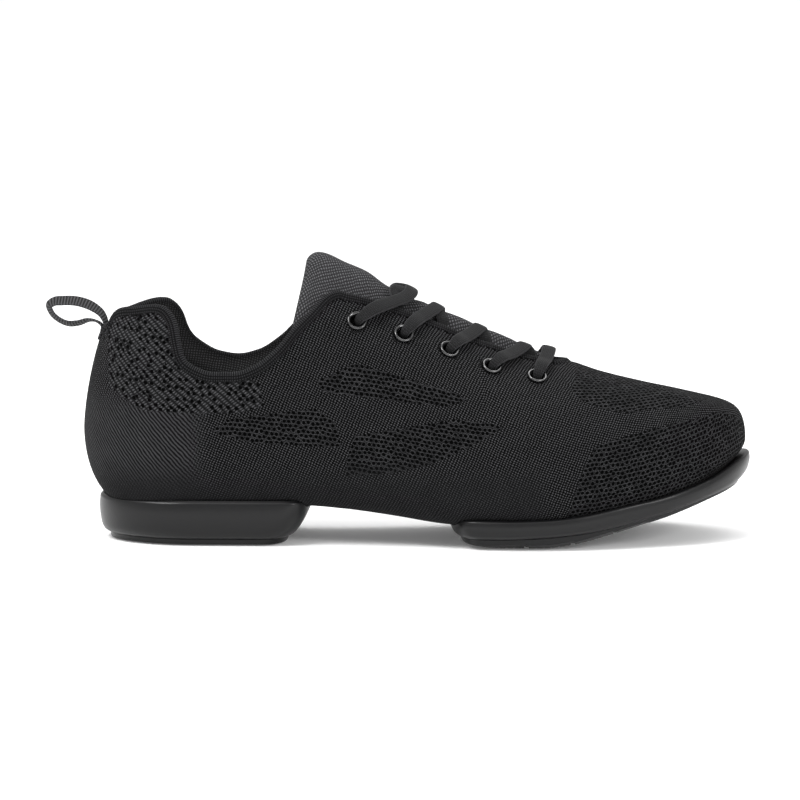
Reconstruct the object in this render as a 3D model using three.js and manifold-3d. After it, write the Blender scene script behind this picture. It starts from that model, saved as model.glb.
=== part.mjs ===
// Right dance sneaker with a split sole: a knitted upper on two moulded soles, a padded tongue,
// five pairs of eyelets, the lace over the throat and a webbing loop at the heel.
// Millimetres, +Z up, toe along +X, little-toe side along -Y, floor at Z = 0.
import * as THREE from "three";
import { mergeVertices } from "three/addons/utils/BufferGeometryUtils.js";
import Module from "manifold-3d";

const wasm = await Module();
wasm.setup();

// Driving dimensions of the last
const UPPER_LENGTH = 269.6;
const BALL_WIDTH = 93.6;
const INSTEP_HEIGHT = 109.5;
const COLLAR_HEIGHT = 93.5;
const HEEL_SOLE_HEIGHT = 18.6;
const TOE_LIP_HEIGHT = 34.7;

// Upper
const WALL = 2.2;
const GAP = 0.3;
const COLLAR_PADDING = 3.2;
const COLLAR_PAD_DEPTH = 48;
const PAD_TAPER = 0.12;
const BEAD_HEIGHT = 0.6;
const BEAD_WIDTH = 3.2;
const BEAD_STEP = 0.9;
const THROAT_WIDTH = 32;
const LASTING_SHARE = 0.6;

// Soles
const SOLE_SETBACK = 6.1;
const HEEL_SOLE_LENGTH = 88.2;
const HEEL_FRONT_SLANT = 6.5;
const FOREFOOT_SOLE_START = 142.4;
const TOE_OVERHANG = 1.9;
const HEEL_SOLE_ROUND = 0.136;
const HEEL_SOLE_CORNER = 0.05;
const FOREFOOT_SOLE_CORNER = 0.04;
const CORNER_POWER = 3.2;
const SOLE_ROUNDING = 3.6;
const GROOVE_WIDTH = 2;
const GROOVE_DEPTH = 1.8;

// Tongue and insole
const TONGUE_WIDTH = 66;
const TONGUE_PAD = 5.6;
const TONGUE_THIN = 2.4;
const TONGUE_LEAN = 7;
const TONGUE_ROOM = 2.2;
const TONGUE_TAPER = 0.62;
const TONGUE_TIP = 0.03;
const TONGUE_FREE = 0.4;
const TONGUE_EDGE = 0.94;
const TONGUE_BLUNT = 0.3;
const INSOLE_THICKNESS = 4;
const INSOLE_EASE = 0.9;
const INSOLE_EDGE = [0.19, 0.81, 1, 1, 1, 1];

// Eyelets and lace
const EYELET_DIAMETER = 7.8;
const EYELET_HOLE = 4.8;
const EYELET_METAL = 0.45;
const EYELET_CROWN = 0.8;
const EYELET_SEAT = 0.85;
const EYELET_FLANGE = 0.5;
const EYELET_SIDES = 8;
const LACE_WIDTH = 5.8;
const LACE_THICKNESS = 1.5;
const LACE_REACH = 0.82;
const LACE_FLAT = 0.6;
const LACE_FLOAT = 1.2;
const LACE_DIVE = 0.55;
const LACE_LAYER = 0.6;
const LACE_SETTLE = 0.45;
const LACE_HUMP = 0.5;

// Pull loop
const LOOP_WIDTH = 9;
const LOOP_THICKNESS = 1.1;
const LOOP_REACH = 23.5;
const LOOP_ROOT = 0.925;
const LOOP_TAIL = 0.043;
const LOOP_STEPS = 24;
const LOOP_EASE = 0.9;

// Plan and top of the last, heel to toe. at: share of the upper's length. half, centre, ridge: shares
// of the ball width. crown: share of the instep height. round: how square the section is above its
// widest line.
const LAST_TOP = [
  { at: 0.0, half: 0.358, centre: 0.0, ridge: 0.0, crown: 0.968, round: 2.0 },
  { at: 0.059, half: 0.365, centre: 0.0, ridge: 0.0, crown: 0.982, round: 2.0 },
  { at: 0.134, half: 0.371, centre: -0.003, ridge: 0.0, crown: 1.032, round: 2.1 },
  { at: 0.245, half: 0.372, centre: -0.011, ridge: 0.0, crown: 1.078, round: 2.1 },
  { at: 0.338, half: 0.363, centre: -0.022, ridge: 0.0, crown: 1.055, round: 2.0 },
  { at: 0.393, half: 0.363, centre: -0.034, ridge: 0.0, crown: 1.0, round: 1.98 },
  { at: 0.456, half: 0.378, centre: -0.045, ridge: 0.0, crown: 0.931, round: 1.88 },
  { at: 0.53, half: 0.41, centre: -0.051, ridge: 0.004, crown: 0.838, round: 1.74 },
  { at: 0.597, half: 0.453, centre: -0.046, ridge: 0.013, crown: 0.762, round: 1.5 },
  { at: 0.671, half: 0.49, centre: -0.017, ridge: 0.025, crown: 0.692, round: 1.55 },
  { at: 0.731, half: 0.499, centre: 0.006, ridge: 0.034, crown: 0.654, round: 1.75 },
  { at: 0.783, half: 0.481, centre: 0.024, ridge: 0.042, crown: 0.611, round: 1.9 },
  { at: 0.853, half: 0.437, centre: 0.044, ridge: 0.053, crown: 0.567, round: 2.15 },
  { at: 0.927, half: 0.4, centre: 0.063, ridge: 0.065, crown: 0.522, round: 2.5 },
  { at: 0.968, half: 0.385, centre: 0.071, ridge: 0.071, crown: 0.502, round: 3.0 },
  { at: 1.0, half: 0.37, centre: 0.075, ridge: 0.075, crown: 0.484, round: 3.0 },
];

// Underside of the last. widest: how far up the side bulges most. seat and rise: its height as shares
// of the heel sole's height and of the toe lip's. tuck: how square the section is below.
const LAST_BASE = [
  { at: 0.0, widest: 0.337, seat: 0.75, rise: 0.0, tuck: 5 },
  { at: 0.059, widest: 0.286, seat: 0.71, rise: 0.0, tuck: 6 },
  { at: 0.134, widest: 0.235, seat: 0.7, rise: 0.0, tuck: 6 },
  { at: 0.245, widest: 0.213, seat: 0.715, rise: 0.0, tuck: 6 },
  { at: 0.338, widest: 0.18, seat: 0.81, rise: 0.0, tuck: 7 },
  { at: 0.393, widest: 0.178, seat: 0.765, rise: 0.0, tuck: 8 },
  { at: 0.456, widest: 0.19, seat: 0.595, rise: 0.032, tuck: 8 },
  { at: 0.53, widest: 0.197, seat: 0.31, rise: 0.098, tuck: 8 },
  { at: 0.597, widest: 0.196, seat: 0.0, rise: 0.233, tuck: 8 },
  { at: 0.671, widest: 0.2, seat: 0.0, rise: 0.222, tuck: 8 },
  { at: 0.731, widest: 0.21, seat: 0.0, rise: 0.25, tuck: 8 },
  { at: 0.783, widest: 0.225, seat: 0.0, rise: 0.31, tuck: 8 },
  { at: 0.853, widest: 0.26, seat: 0.0, rise: 0.43, tuck: 8 },
  { at: 0.927, widest: 0.325, seat: 0.0, rise: 0.6, tuck: 7 },
  { at: 0.968, widest: 0.38, seat: 0.0, rise: 0.74, tuck: 6 },
  { at: 1.0, widest: 0.437, seat: 0.0, rise: 0.85, tuck: 5 },
];

// Edge of the collar from the heel to the eyestay's corner, on each side of the foot.
// Heights are shares of the collar height.
const COLLAR = [
  { at: 0.0, lateral: 0.925, medial: 0.925 },
  { at: 0.037, lateral: 0.938, medial: 0.938 },
  { at: 0.043, lateral: 0.974, medial: 0.965 },
  { at: 0.05, lateral: 0.999, medial: 0.98 },
  { at: 0.058, lateral: 1.013, medial: 0.989 },
  { at: 0.067, lateral: 1.02, medial: 0.997 },
  { at: 0.08, lateral: 1.024, medial: 1.01 },
  { at: 0.1, lateral: 1.034, medial: 1.026 },
  { at: 0.112, lateral: 1.038, medial: 1.03 },
  { at: 0.122, lateral: 1.034, medial: 1.027 },
  { at: 0.131, lateral: 1.022, medial: 1.013 },
  { at: 0.139, lateral: 0.998, medial: 0.99 },
  { at: 0.145, lateral: 0.965, medial: 0.96 },
  { at: 0.15, lateral: 0.907, medial: 0.92 },
  { at: 0.155, lateral: 0.847, medial: 0.885 },
  { at: 0.162, lateral: 0.805, medial: 0.854 },
  { at: 0.172, lateral: 0.782, medial: 0.828 },
  { at: 0.2, lateral: 0.757, medial: 0.783 },
  { at: 0.23, lateral: 0.757, medial: 0.769 },
  { at: 0.26, lateral: 0.784, medial: 0.789 },
  { at: 0.294, lateral: 0.86, medial: 0.853 },
  { at: 0.317, lateral: 0.94, medial: 0.92 },
  { at: 0.34, lateral: 1.004, medial: 0.995 },
  { at: 0.354, lateral: 1.048, medial: 1.042 },
  { at: 0.364, lateral: 1.075, medial: 1.072 },
  { at: 0.377, lateral: 1.091, medial: 1.09 },
  { at: 0.392, lateral: 1.096, medial: 1.096 },
  { at: 0.408, lateral: 1.1, medial: 1.1 },
  { at: 0.419, lateral: 1.4, medial: 1.4 },
];

// Half opening of the throat as a share of the throat width
const THROAT = [
  { at: 0.393, open: 0.5 },
  { at: 0.482, open: 0.4 },
  { at: 0.553, open: 0.312 },
  { at: 0.615, open: 0.26 },
  { at: 0.69, open: 0.203 },
];

// The soles against the last. margin: how far the side stands past the last, share of the ball width.
// lip, under, edge, floor: top edge, lower edge, rounding at the tread's edge and the tread, as shares
// of the heel sole's height at the heel and of the toe lip's height at the forefoot.
const HEEL_SOLE = [
  { at: 0.0, margin: -0.024, lip: 1.0, under: 0.15, edge: 0.03, floor: 0.0 },
  { at: 0.36, margin: -0.024, lip: 1.0, under: 0.15, edge: 0.03, floor: 0.0 },
];
const FOREFOOT_SOLE = [
  { at: 0.556, margin: -0.02, lip: 0.354, under: 0.125, edge: 0.045, floor: 0.0 },
  { at: 0.634, margin: -0.009, lip: 0.354, under: 0.13, edge: 0.055, floor: 0.0 },
  { at: 0.69, margin: -0.003, lip: 0.365, under: 0.15, edge: 0.058, floor: 0.0 },
  { at: 0.715, margin: 0.0, lip: 0.38, under: 0.165, edge: 0.058, floor: 0.015 },
  { at: 0.76, margin: 0.001, lip: 0.43, under: 0.205, edge: 0.055, floor: 0.08 },
  { at: 0.809, margin: 0.003, lip: 0.507, under: 0.275, edge: 0.045, floor: 0.18 },
  { at: 0.872, margin: 0.005, lip: 0.602, under: 0.39, edge: 0.02, floor: 0.32 },
  { at: 0.935, margin: 0.007, lip: 0.749, under: 0.535, edge: 0.01, floor: 0.485 },
  { at: 0.982, margin: 0.008, lip: 0.925, under: 0.655, edge: 0.01, floor: 0.605 },
  { at: 1.003, margin: 0.008, lip: 1.0, under: 0.75, edge: 0.01, floor: 0.69 },
];

// Side of a sole from its lip down to the floor. share: height between lower edge and lip.
// inset: how far in from the outline, share of the sole's rounding.
const SOLE_SIDE = [
  { share: 1.0, inset: 0.36 },
  { share: 0.92, inset: 0.083 },
  { share: 0.65, inset: 0.0 },
  { share: 0.25, inset: 0.194 },
  { share: 0.06, inset: 0.556 },
  { share: 0.0, inset: 1.0 },
];
const TREAD_INSET = 4.6;
const TREAD_FLAT = 13;
const TREAD_DRAFT = 0.4;
const TREAD_STEP = 0.15;

// Grooves across the treads, as shares of the upper's length
const GROOVES = [0.208, 0.664, 0.733, 0.796, 0.846];

// Surface of the tongue along its middle, height as a share of the instep height
const TONGUE = [
  { at: 0.338, height: 1.052, pad: 1.0 },
  { at: 0.352, height: 1.061, pad: 1.0 },
  { at: 0.393, height: 1.022, pad: 0.9 },
  { at: 0.423, height: 0.988, pad: 0.75 },
  { at: 0.456, height: 0.93, pad: 0.4 },
  { at: 0.53, height: 0.843, pad: 0.1 },
  { at: 0.597, height: 0.768, pad: 0.0 },
  { at: 0.671, height: 0.697, pad: 0.0 },
  { at: 0.745, height: 0.62, pad: 0.0 },
];

// Rows and columns of the tongue's surface, as shares of its length and of its half width
const TONGUE_LENGTHS = [0, 0.008, 0.03, 0.08, 0.15, 0.23, 0.31, 0.4, 0.5, 0.6, 0.7, 0.8, 0.9, 1];
const TONGUE_WIDTHS = [-1, -0.9, -0.72, -0.52, -0.34, -0.16, 0, 0.16, 0.34, 0.52, 0.72, 0.9, 1];

// Eyelets from the top down. across: from the throat's middle line, share of the ball width.
const EYELETS = [
  { at: 0.4125, across: 0.2525 },
  { at: 0.4815, across: 0.2475 },
  { at: 0.549, across: 0.238 },
  { at: 0.6125, across: 0.243 },
  { at: 0.6805, across: 0.2325 },
];

// The lace's crossings from the top down, and its bar over the lowest eyelets. bow: how far its middle
// sweeps towards the toe. arch: how far it stands up off the tongue. Both are shares of its width.
const LACES = [
  { bow: 2.0, arch: 0.2 },
  { bow: 0.5, arch: 0.03 },
  { bow: 0.4, arch: 0 },
  { bow: 0.5, arch: 0 },
  { bow: 0.85, arch: 0.05 },
];

const LACE_SHARES = [0, 0.14, 0.28, 0.42, 0.55, 0.68, 0.8, 0.91, 1];

// Pull loop, side view from where the inner ply leaves the heel, round the tip and back.
// out: behind the root, share of the reach. up: above the root, share of the reach.
const LOOP_PATH = [
  { out: 0.03, up: 0.08 },
  { out: 0.08, up: 0.19 },
  { out: 0.219, up: 0.32 },
  { out: 0.454, up: 0.422 },
  { out: 0.692, up: 0.443 },
  { out: 0.836, up: 0.43 },
  { out: 0.922, up: 0.362 },
  { out: 0.888, up: 0.218 },
  { out: 0.76, up: 0.09 },
  { out: 0.585, up: 0.018 },
  { out: 0.419, up: 0.03 },
  { out: 0.236, up: 0.081 },
  { out: 0.175, up: 0.08 },
  { out: 0.12, up: 0.04 },
];

const LATERAL = -1;
const MEDIAL = 1;

// Places along the upper where the spacing of its ribs changes, as shares of its length
const HEEL_ROUND = 0.111;
const COLLAR_STEP_START = 0.134;
const COLLAR_STEP_END = 0.163;
const CORNER_START = 0.371;
const CORNER_END = 0.408;
const THROAT_TAIL = 0.668;
const THROAT_END = 0.72;
const TOE_ROUND = 0.845;

// Parts of the underside that the last leaves open over the soles, and how fast they narrow
const HEEL_OPEN_END = 0.32;
const BALL_OPEN_START = 0.585;
const OPEN_TAPER = 0.075;

// Rounded ends of the last: length of each as a share of the upper's length
const HEEL_CURVE = 0.141;
const TOE_CURVE = 0.16;
const HEEL_TURN = 0.19;
const TOE_TURN = 0.727;
const SPINE_END = 1.2;
const HEEL_ROUNDNESS = 2;
const HEEL_LEAN = 1.5;
const HEEL_TUCK = 3;
const TOE_ROUNDNESS = 14;
const TOE_TUCK = 4;

// Points of one rib: its flat part on top, the turn over the side, the tuck and the flat part below
const RIB_STEPS = 20;
const FLAT_TOP = 0.7;
const FLAT_BASE = 0.85;

const knit = new THREE.MeshStandardMaterial({ color: 0x2b2b2c, roughness: 0.95, metalness: 0 });
const padded = new THREE.MeshStandardMaterial({ color: 0x303031, roughness: 0.95, metalness: 0 });
const rubber = new THREE.MeshStandardMaterial({ color: 0x222223, roughness: 0.5, metalness: 0 });
const foam = new THREE.MeshStandardMaterial({ color: 0x1d1d1e, roughness: 0.9, metalness: 0 });
const metal = new THREE.MeshStandardMaterial({ color: 0x2a2a2c, roughness: 0.2, metalness: 1 });
const cord = new THREE.MeshStandardMaterial({ color: 0x2e2e2f, roughness: 0.85, metalness: 0 });

const mix = (a, b, share) => a + (b - a) * share;
const clamp = (value) => Math.min(1, Math.max(0, value));
const smooth = (value) => clamp(value) ** 2 * (3 - 2 * clamp(value));

// A smooth curve through one column of a table, which never swings past its rows
function track(rows, key, size = 1) {
  const xs = rows.map((row) => row.at * UPPER_LENGTH);
  const ys = rows.map((row) => row[key] * size);
  const rises = xs.slice(1).map((x, k) => (ys[k + 1] - ys[k]) / (x - xs[k]));
  const slopes = xs.map((_, k) => {
    if (k === 0) return rises[0];
    if (k === xs.length - 1) return rises[k - 1];
    const [before, after] = [rises[k - 1], rises[k]];
    return before * after > 0 ? (2 * before * after) / (before + after) : 0;
  });
  return (x) => {
    if (x <= xs[0]) return ys[0];
    if (x >= xs.at(-1)) return ys.at(-1);
    const k = xs.findIndex((end) => end > x) - 1;
    const span = xs[k + 1] - xs[k];
    const t = (x - xs[k]) / span;
    const lead = (1 - t) ** 2 * ((1 + 2 * t) * ys[k] + t * span * slopes[k]);
    return lead + t ** 2 * ((3 - 2 * t) * ys[k + 1] - (1 - t) * span * slopes[k + 1]);
  };
}

const half = track(LAST_TOP, "half", BALL_WIDTH);
const centre = track(LAST_TOP, "centre", BALL_WIDTH);
const ridge = track(LAST_TOP, "ridge", BALL_WIDTH);
const crown = track(LAST_TOP, "crown", INSTEP_HEIGHT);
const widest = track(LAST_BASE, "widest");
const seat = track(LAST_BASE, "seat", HEEL_SOLE_HEIGHT);
const rise = track(LAST_BASE, "rise", TOE_LIP_HEIGHT);
const round = track(LAST_TOP, "round");
const tuck = track(LAST_BASE, "tuck");
const collarLateral = track(COLLAR, "lateral", COLLAR_HEIGHT);
const collarMedial = track(COLLAR, "medial", COLLAR_HEIGHT);
const throat = track(THROAT, "open", THROAT_WIDTH);

const underside = (x) => seat(x) + rise(x);
const sideHeight = (x) => mix(underside(x), crown(x), widest(x));

// How much of its full width the last keeps at a place near one of its rounded ends
function endRound(x) {
  const fromHeel = clamp(x / (HEEL_CURVE * UPPER_LENGTH));
  const fromToe = clamp((UPPER_LENGTH - x) / (TOE_CURVE * UPPER_LENGTH));
  return Math.sqrt(1 - (1 - fromHeel) ** 2) * Math.sqrt(1 - (1 - fromToe) ** 2);
}

// The middle line that the ribs start from. It stops short of the heel and the toe,
// so that the ribs there fan out round the ends.
function spine(x) {
  const turn = HEEL_TURN * UPPER_LENGTH;
  const bend = TOE_TURN * UPPER_LENGTH;
  if (x < turn) {
    const s = x + (turn - x) ** 2 / (2 * turn);
    return s - turn / 2 < SPINE_END ? turn / 2 : s;
  }
  if (x > bend) {
    const s = x - (x - bend) ** 2 / (2 * (UPPER_LENGTH - bend));
    const last = (UPPER_LENGTH + bend) / 2;
    return last - s < SPINE_END ? last : s;
  }
  return x;
}

function throatHalf(x) {
  const start = TONGUE[0].at * UPPER_LENGTH;
  const end = THROAT_END * UPPER_LENGTH;
  if (x < start || x >= end) return 0;
  const left = clamp((end - x) / throat(end));
  return throat(x) * Math.sqrt(1 - (1 - left) ** 2);
}

// Part of the rib under the foot that the last leaves open over each sole
function openShare(x) {
  const reach = OPEN_TAPER * UPPER_LENGTH;
  const heelEnd = HEEL_OPEN_END * UPPER_LENGTH;
  const ballStart = BALL_OPEN_START * UPPER_LENGTH;
  const past = Math.max(clamp((heelEnd - x) / reach), clamp((x - ballStart) / reach));
  return LASTING_SHARE * Math.sqrt(1 - (1 - past) ** 2);
}

// One rib: from the spine over the side and under the foot, as points from top to bottom
function ribPoints(side, x) {
  const s = spine(x);
  const root = new THREE.Vector2(s, ridge(s));
  const edge = new THREE.Vector2(x, centre(x) + side * half(x) * endRound(x));
  const run = root.distanceTo(edge);
  const back = clamp((root.x - edge.x) / run);
  const front = clamp((edge.x - root.x) / run);
  const top = mix(mix(round(x), HEEL_ROUNDNESS, back ** 2), TOE_ROUNDNESS, front ** 4);
  const lean = mix(2, HEEL_LEAN, back);
  const base = mix(mix(tuck(x), HEEL_TUCK, back ** 2), TOE_TUCK, front ** 2);
  const level = sideHeight(x);
  const above = (out, share) => {
    const plan = root.clone().lerp(edge, out);
    return { out, at: new THREE.Vector3(plan.x, plan.y, mix(level, crown(plan.x), share)) };
  };
  const below = (out, share) => {
    const plan = root.clone().lerp(edge, out);
    return { out, at: new THREE.Vector3(plan.x, plan.y, mix(level, underside(plan.x), share)) };
  };
  const points = [];
  for (let k = 0; k < RIB_STEPS; k += 1) {
    const out = (FLAT_TOP * k) / RIB_STEPS;
    points.push(above(out, (1 - out ** top) ** (1 / lean)));
  }
  const first = Math.asin(FLAT_TOP ** (top / 2));
  for (let k = 0; k <= RIB_STEPS; k += 1) {
    const angle = mix(first, Math.PI / 2, k / RIB_STEPS);
    points.push(above(Math.sin(angle) ** (2 / top), Math.max(0, Math.cos(angle)) ** (2 / lean)));
  }
  const turned = Math.asin(FLAT_BASE ** (base / 2));
  for (let k = 1; k <= RIB_STEPS; k += 1) {
    const angle = mix(Math.PI / 2, turned, k / RIB_STEPS);
    points.push(below(Math.sin(angle) ** (2 / base), Math.cos(angle)));
  }
  for (let k = 1; k <= RIB_STEPS; k += 1) {
    const out = FLAT_BASE * (1 - k / RIB_STEPS);
    points.push(below(out, Math.sqrt(1 - out ** base)));
  }
  return { points, side: 2 * RIB_STEPS, front };
}

// Whether a point of the last is knit: below the collar's edge and outside the throat
function isKept(p) {
  const across = p.y - ridge(p.x);
  const edge = across < 0 ? collarLateral(p.x) : collarMedial(p.x);
  return p.z <= edge && Math.abs(across) >= throatHalf(p.x) - 1e-6;
}

// Share of the run of points at which the collar or the throat cuts the rib
function topCut(points) {
  const k = points.findIndex((point) => isKept(point.at));
  if (k === 0) return 0;
  let [low, high] = [0, 1];
  for (let step = 0; step < 30; step += 1) {
    const middle = (low + high) / 2;
    const p = points[k - 1].at.clone().lerp(points[k].at, middle);
    if (isKept(p)) high = middle;
    else low = middle;
  }
  return k - 1 + high;
}

function bottomCut(points, start, open) {
  if (open <= 0) return points.length - 1;
  let k = start;
  while (points[k + 1].out > open) k += 1;
  return k + (points[k].out - open) / (points[k].out - points[k + 1].out);
}

// Points at chosen shares of the length of a rib between two of its places
function spread(points, from, to, shares) {
  const at = (place) => {
    const k = Math.min(Math.floor(place), points.length - 2);
    return points[k].at.clone().lerp(points[k + 1].at, place - k);
  };
  const places = [from];
  for (let k = Math.floor(from) + 1; k < to; k += 1) places.push(k);
  places.push(to);
  const lengths = [0];
  for (let k = 1; k < places.length; k += 1) {
    lengths.push(lengths.at(-1) + at(places[k]).distanceTo(at(places[k - 1])));
  }
  const total = lengths.at(-1);
  return shares(total).map((share) => {
    const goal = share * total;
    let k = 1;
    while (k < places.length - 1 && lengths[k] < goal) k += 1;
    const span = lengths[k] - lengths[k - 1];
    return at(mix(places[k - 1], places[k], span > 0 ? (goal - lengths[k - 1]) / span : 1));
  });
}

// Rows over the opening, above the rim
const LID_SHARES = [0, 0.5];
const RIM = LID_SHARES.length;
const SIDE_ROWS = 4;
const SOLE_SHARES = [0.28, 0.47, 0.63, 0.79, 1];

// Rows of one rib: two over the opening, the rim, its bead, the side, the tuck and the sole
function ribRows(side, x) {
  const { points, side: bulge, front } = ribPoints(side, x);
  const top = topCut(points);
  const bottom = bottomCut(points, bulge, openShare(x));
  const lid = spread(points, 0, top, () => LID_SHARES);
  const wall = spread(points, top, bulge, (total) => {
    const bead = [0, BEAD_WIDTH / total, (BEAD_WIDTH + BEAD_STEP) / total];
    const rest = Array.from({ length: SIDE_ROWS }, (_, k) => {
      const even = (k + 1) / SIDE_ROWS;
      return mix(bead[2], 1, mix(even, Math.sqrt(even), front));
    });
    return [...bead, ...rest];
  });
  const sole = spread(points, bulge, bottom, () => SOLE_SHARES);
  const rest = spread(points, bottom, points.length - 1, () => [0.5, 1]);
  const rows = [...lid, ...wall, ...sole, ...rest];
  return { rows, topShut: top === 0, soleShut: bottom === points.length - 1 };
}

function between(from, to, count, ease = (t) => t) {
  return Array.from({ length: count }, (_, k) => UPPER_LENGTH * mix(from, to, ease((k + 1) / count)));
}

function ribPlaces() {
  const slowStart = (t) => 1 - Math.cos((t * Math.PI) / 2);
  const slowEnd = (t) => Math.sin((t * Math.PI) / 2);
  return [
    0,
    ...between(0, HEEL_ROUND, 6, slowStart),
    ...between(HEEL_ROUND, COLLAR_STEP_START, 2),
    ...between(COLLAR_STEP_START, COLLAR_STEP_END, 5),
    ...between(COLLAR_STEP_END, CORNER_START, 6),
    ...between(CORNER_START, CORNER_END, 3),
    ...between(CORNER_END, THROAT_TAIL, 7),
    ...between(THROAT_TAIL, THROAT_END, 3, slowEnd),
    ...between(THROAT_END, TOE_ROUND, 4),
    ...between(TOE_ROUND, 1, 8, slowEnd),
  ];
}

const keyOf = (p) => `${Math.round(p.x * 1000)},${Math.round(p.y * 1000)},${Math.round(p.z * 1000)}`;

// Ribs all round the last, with the outward direction at each point
function lastGrid() {
  const places = ribPlaces();
  const inner = places.slice(1, -1);
  const ribs = [
    ribRows(LATERAL, places[0]),
    ...inner.map((x) => ribRows(LATERAL, x)),
    ribRows(LATERAL, places.at(-1)),
    ...inner.toReversed().map((x) => ribRows(MEDIAL, x)),
  ];
  const sums = new Map();
  for (const corners of wrapFaces(ribs.map((rib) => rib.rows))) {
    const [a, b, c] = corners;
    const turn = b.clone().sub(a).cross(c.clone().sub(a));
    for (const p of corners) {
      sums.set(keyOf(p), (sums.get(keyOf(p)) ?? new THREE.Vector3()).add(turn));
    }
  }
  for (const rib of ribs) rib.out = rib.rows.map((p) => sums.get(keyOf(p)).clone().normalize());
  return ribs;
}

// Two triangles for each cell of a grid of columns that closes on itself
function wrapFaces(columns) {
  const faces = [];
  columns.forEach((here, k) => {
    const next = columns[(k + 1) % columns.length];
    for (let row = 0; row + 1 < here.length; row += 1) {
      faces.push([here[row], here[row + 1], next[row + 1]]);
      faces.push([here[row], next[row + 1], next[row]]);
    }
  });
  return faces;
}

const flipped = (faces) => faces.map(([a, b, c]) => [a, c, b]);

// A closed geometry from triangles: near corners are one vertex and empty triangles are left out
function geometryOf(faces) {
  const numbers = new Map();
  const position = [];
  const index = [];
  for (const corners of faces) {
    const ids = corners.map((p) => {
      const key = keyOf(p);
      if (!numbers.has(key)) {
        numbers.set(key, numbers.size);
        position.push(p.x, p.y, p.z);
      }
      return numbers.get(key);
    });
    if (new Set(ids).size === 3) index.push(...ids);
  }
  const geometry = new THREE.BufferGeometry();
  geometry.setAttribute("position", new THREE.Float32BufferAttribute(position, 3));
  geometry.setIndex(index);
  return geometry;
}

function toSolid(geometry) {
  const bare = geometry.clone();
  bare.deleteAttribute("normal");
  bare.deleteAttribute("uv");
  const merged = mergeVertices(bare, 1e-4);
  const vertProperties = new Float32Array(merged.getAttribute("position").array);
  const triVerts = new Uint32Array(merged.getIndex().array);
  return new wasm.Manifold(new wasm.Mesh({ numProp: 3, vertProperties, triVerts }));
}

function toGeometry(solid) {
  const mesh = solid.getMesh();
  const geometry = new THREE.BufferGeometry();
  geometry.setAttribute("position", new THREE.Float32BufferAttribute(mesh.vertProperties, 3));
  geometry.setIndex(Array.from(mesh.triVerts));
  return geometry;
}

const grid = lastGrid();
const lastRow = grid[0].rows.length - 1;
const soleRow = lastRow - 2;

// The grid moved outward by a depth that may change from point to point
function offsetColumns(from, to, depth, every = 1) {
  const columns = grid.filter((_, k) => k % every === 0);
  return columns.map((rib) => {
    const rows = rib.rows.slice(from, to + 1);
    return rows.map((p, k) => p.clone().addScaledVector(rib.out[from + k], depth(p, from + k)));
  });
}

const rimPoints = grid.filter((rib) => !rib.topShut).map((rib) => rib.rows[RIM]);
const rimDistance = (p) => Math.min(...rimPoints.map((rim) => rim.distanceTo(p)));

const bead = (p, row) => {
  if (row > RIM + 2) return 0;
  return BEAD_HEIGHT * smooth((BEAD_WIDTH + BEAD_STEP - rimDistance(p)) / BEAD_STEP);
};

// Depth of the inner face under the knit, deeper behind the rim where the collar is padded
function liningDepth(p) {
  const away = rimDistance(p) / COLLAR_PAD_DEPTH;
  const behind = smooth((CORNER_START * UPPER_LENGTH - p.x) / (PAD_TAPER * UPPER_LENGTH));
  const swell = smooth(away * 6) * smooth((1 - away) * 1.6);
  return -(WALL + COLLAR_PADDING * swell * behind);
}

// The knitted shell: outer and inner face of the last, joined along the openings
function upperShell() {
  const outside = offsetColumns(RIM, soleRow, bead);
  const inside = offsetColumns(RIM, soleRow, liningDepth);
  const faces = [...wrapFaces(outside), ...flipped(wrapFaces(inside))];
  const end = soleRow - RIM;
  grid.forEach((rib, k) => {
    const next = (k + 1) % grid.length;
    if (!(rib.topShut && grid[next].topShut)) {
      faces.push([outside[k][0], outside[next][0], inside[next][0]]);
      faces.push([outside[k][0], inside[next][0], inside[k][0]]);
    }
    if (!(rib.soleShut && grid[next].soleShut)) {
      faces.push([outside[k][end], inside[k][end], inside[next][end]]);
      faces.push([outside[k][end], inside[next][end], outside[next][end]]);
    }
  });
  return geometryOf(faces);
}

// How far the last reaches to one side of its ridge
const sideReach = (x, side) => Math.abs(centre(x) + side * half(x) * endRound(x) - ridge(x));

// Height of the last over the floor at a place on top of the foot
function crest(x, y) {
  const side = y < ridge(x) ? LATERAL : MEDIAL;
  const out = clamp(Math.abs(y - ridge(x)) / sideReach(x, side));
  return mix(sideHeight(x), crown(x), Math.sqrt(1 - out ** round(x)));
}

function crestNormal(x, y) {
  const step = 0.5;
  const alongX = (crest(x + step, y) - crest(x - step, y)) / (2 * step);
  const alongY = (crest(x, y + step) - crest(x, y - step)) / (2 * step);
  return new THREE.Vector3(-alongX, -alongY, 1).normalize();
}

// A point above the top of the foot, or below it where the lift is negative
function overFoot(x, across, lift) {
  const y = ridge(x) + across;
  return new THREE.Vector3(x, y, crest(x, y)).addScaledVector(crestNormal(x, y), lift);
}

function eyeletFrame(row, side) {
  const x = row.at * UPPER_LENGTH;
  const across = side * row.across * BALL_WIDTH;
  const frame = new THREE.Object3D();
  frame.position.copy(overFoot(x, across, 0));
  const up = new THREE.Vector3(0, 1, 0);
  frame.quaternion.setFromUnitVectors(up, crestNormal(x, ridge(x) + across));
  frame.updateMatrix();
  return frame;
}

const barrelRadius = EYELET_HOLE / 2 + EYELET_METAL;

function upper() {
  let shell = toSolid(upperShell());
  const radius = (barrelRadius + GAP) / Math.cos(Math.PI / EYELET_SIDES);
  const punch = new THREE.CylinderGeometry(radius, radius, 6 * WALL, EYELET_SIDES);
  for (const row of EYELETS) {
    for (const side of [LATERAL, MEDIAL]) {
      shell = shell.subtract(toSolid(punch.clone().applyMatrix4(eyeletFrame(row, side).matrix)));
    }
  }
  return toGeometry(shell);
}

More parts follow.
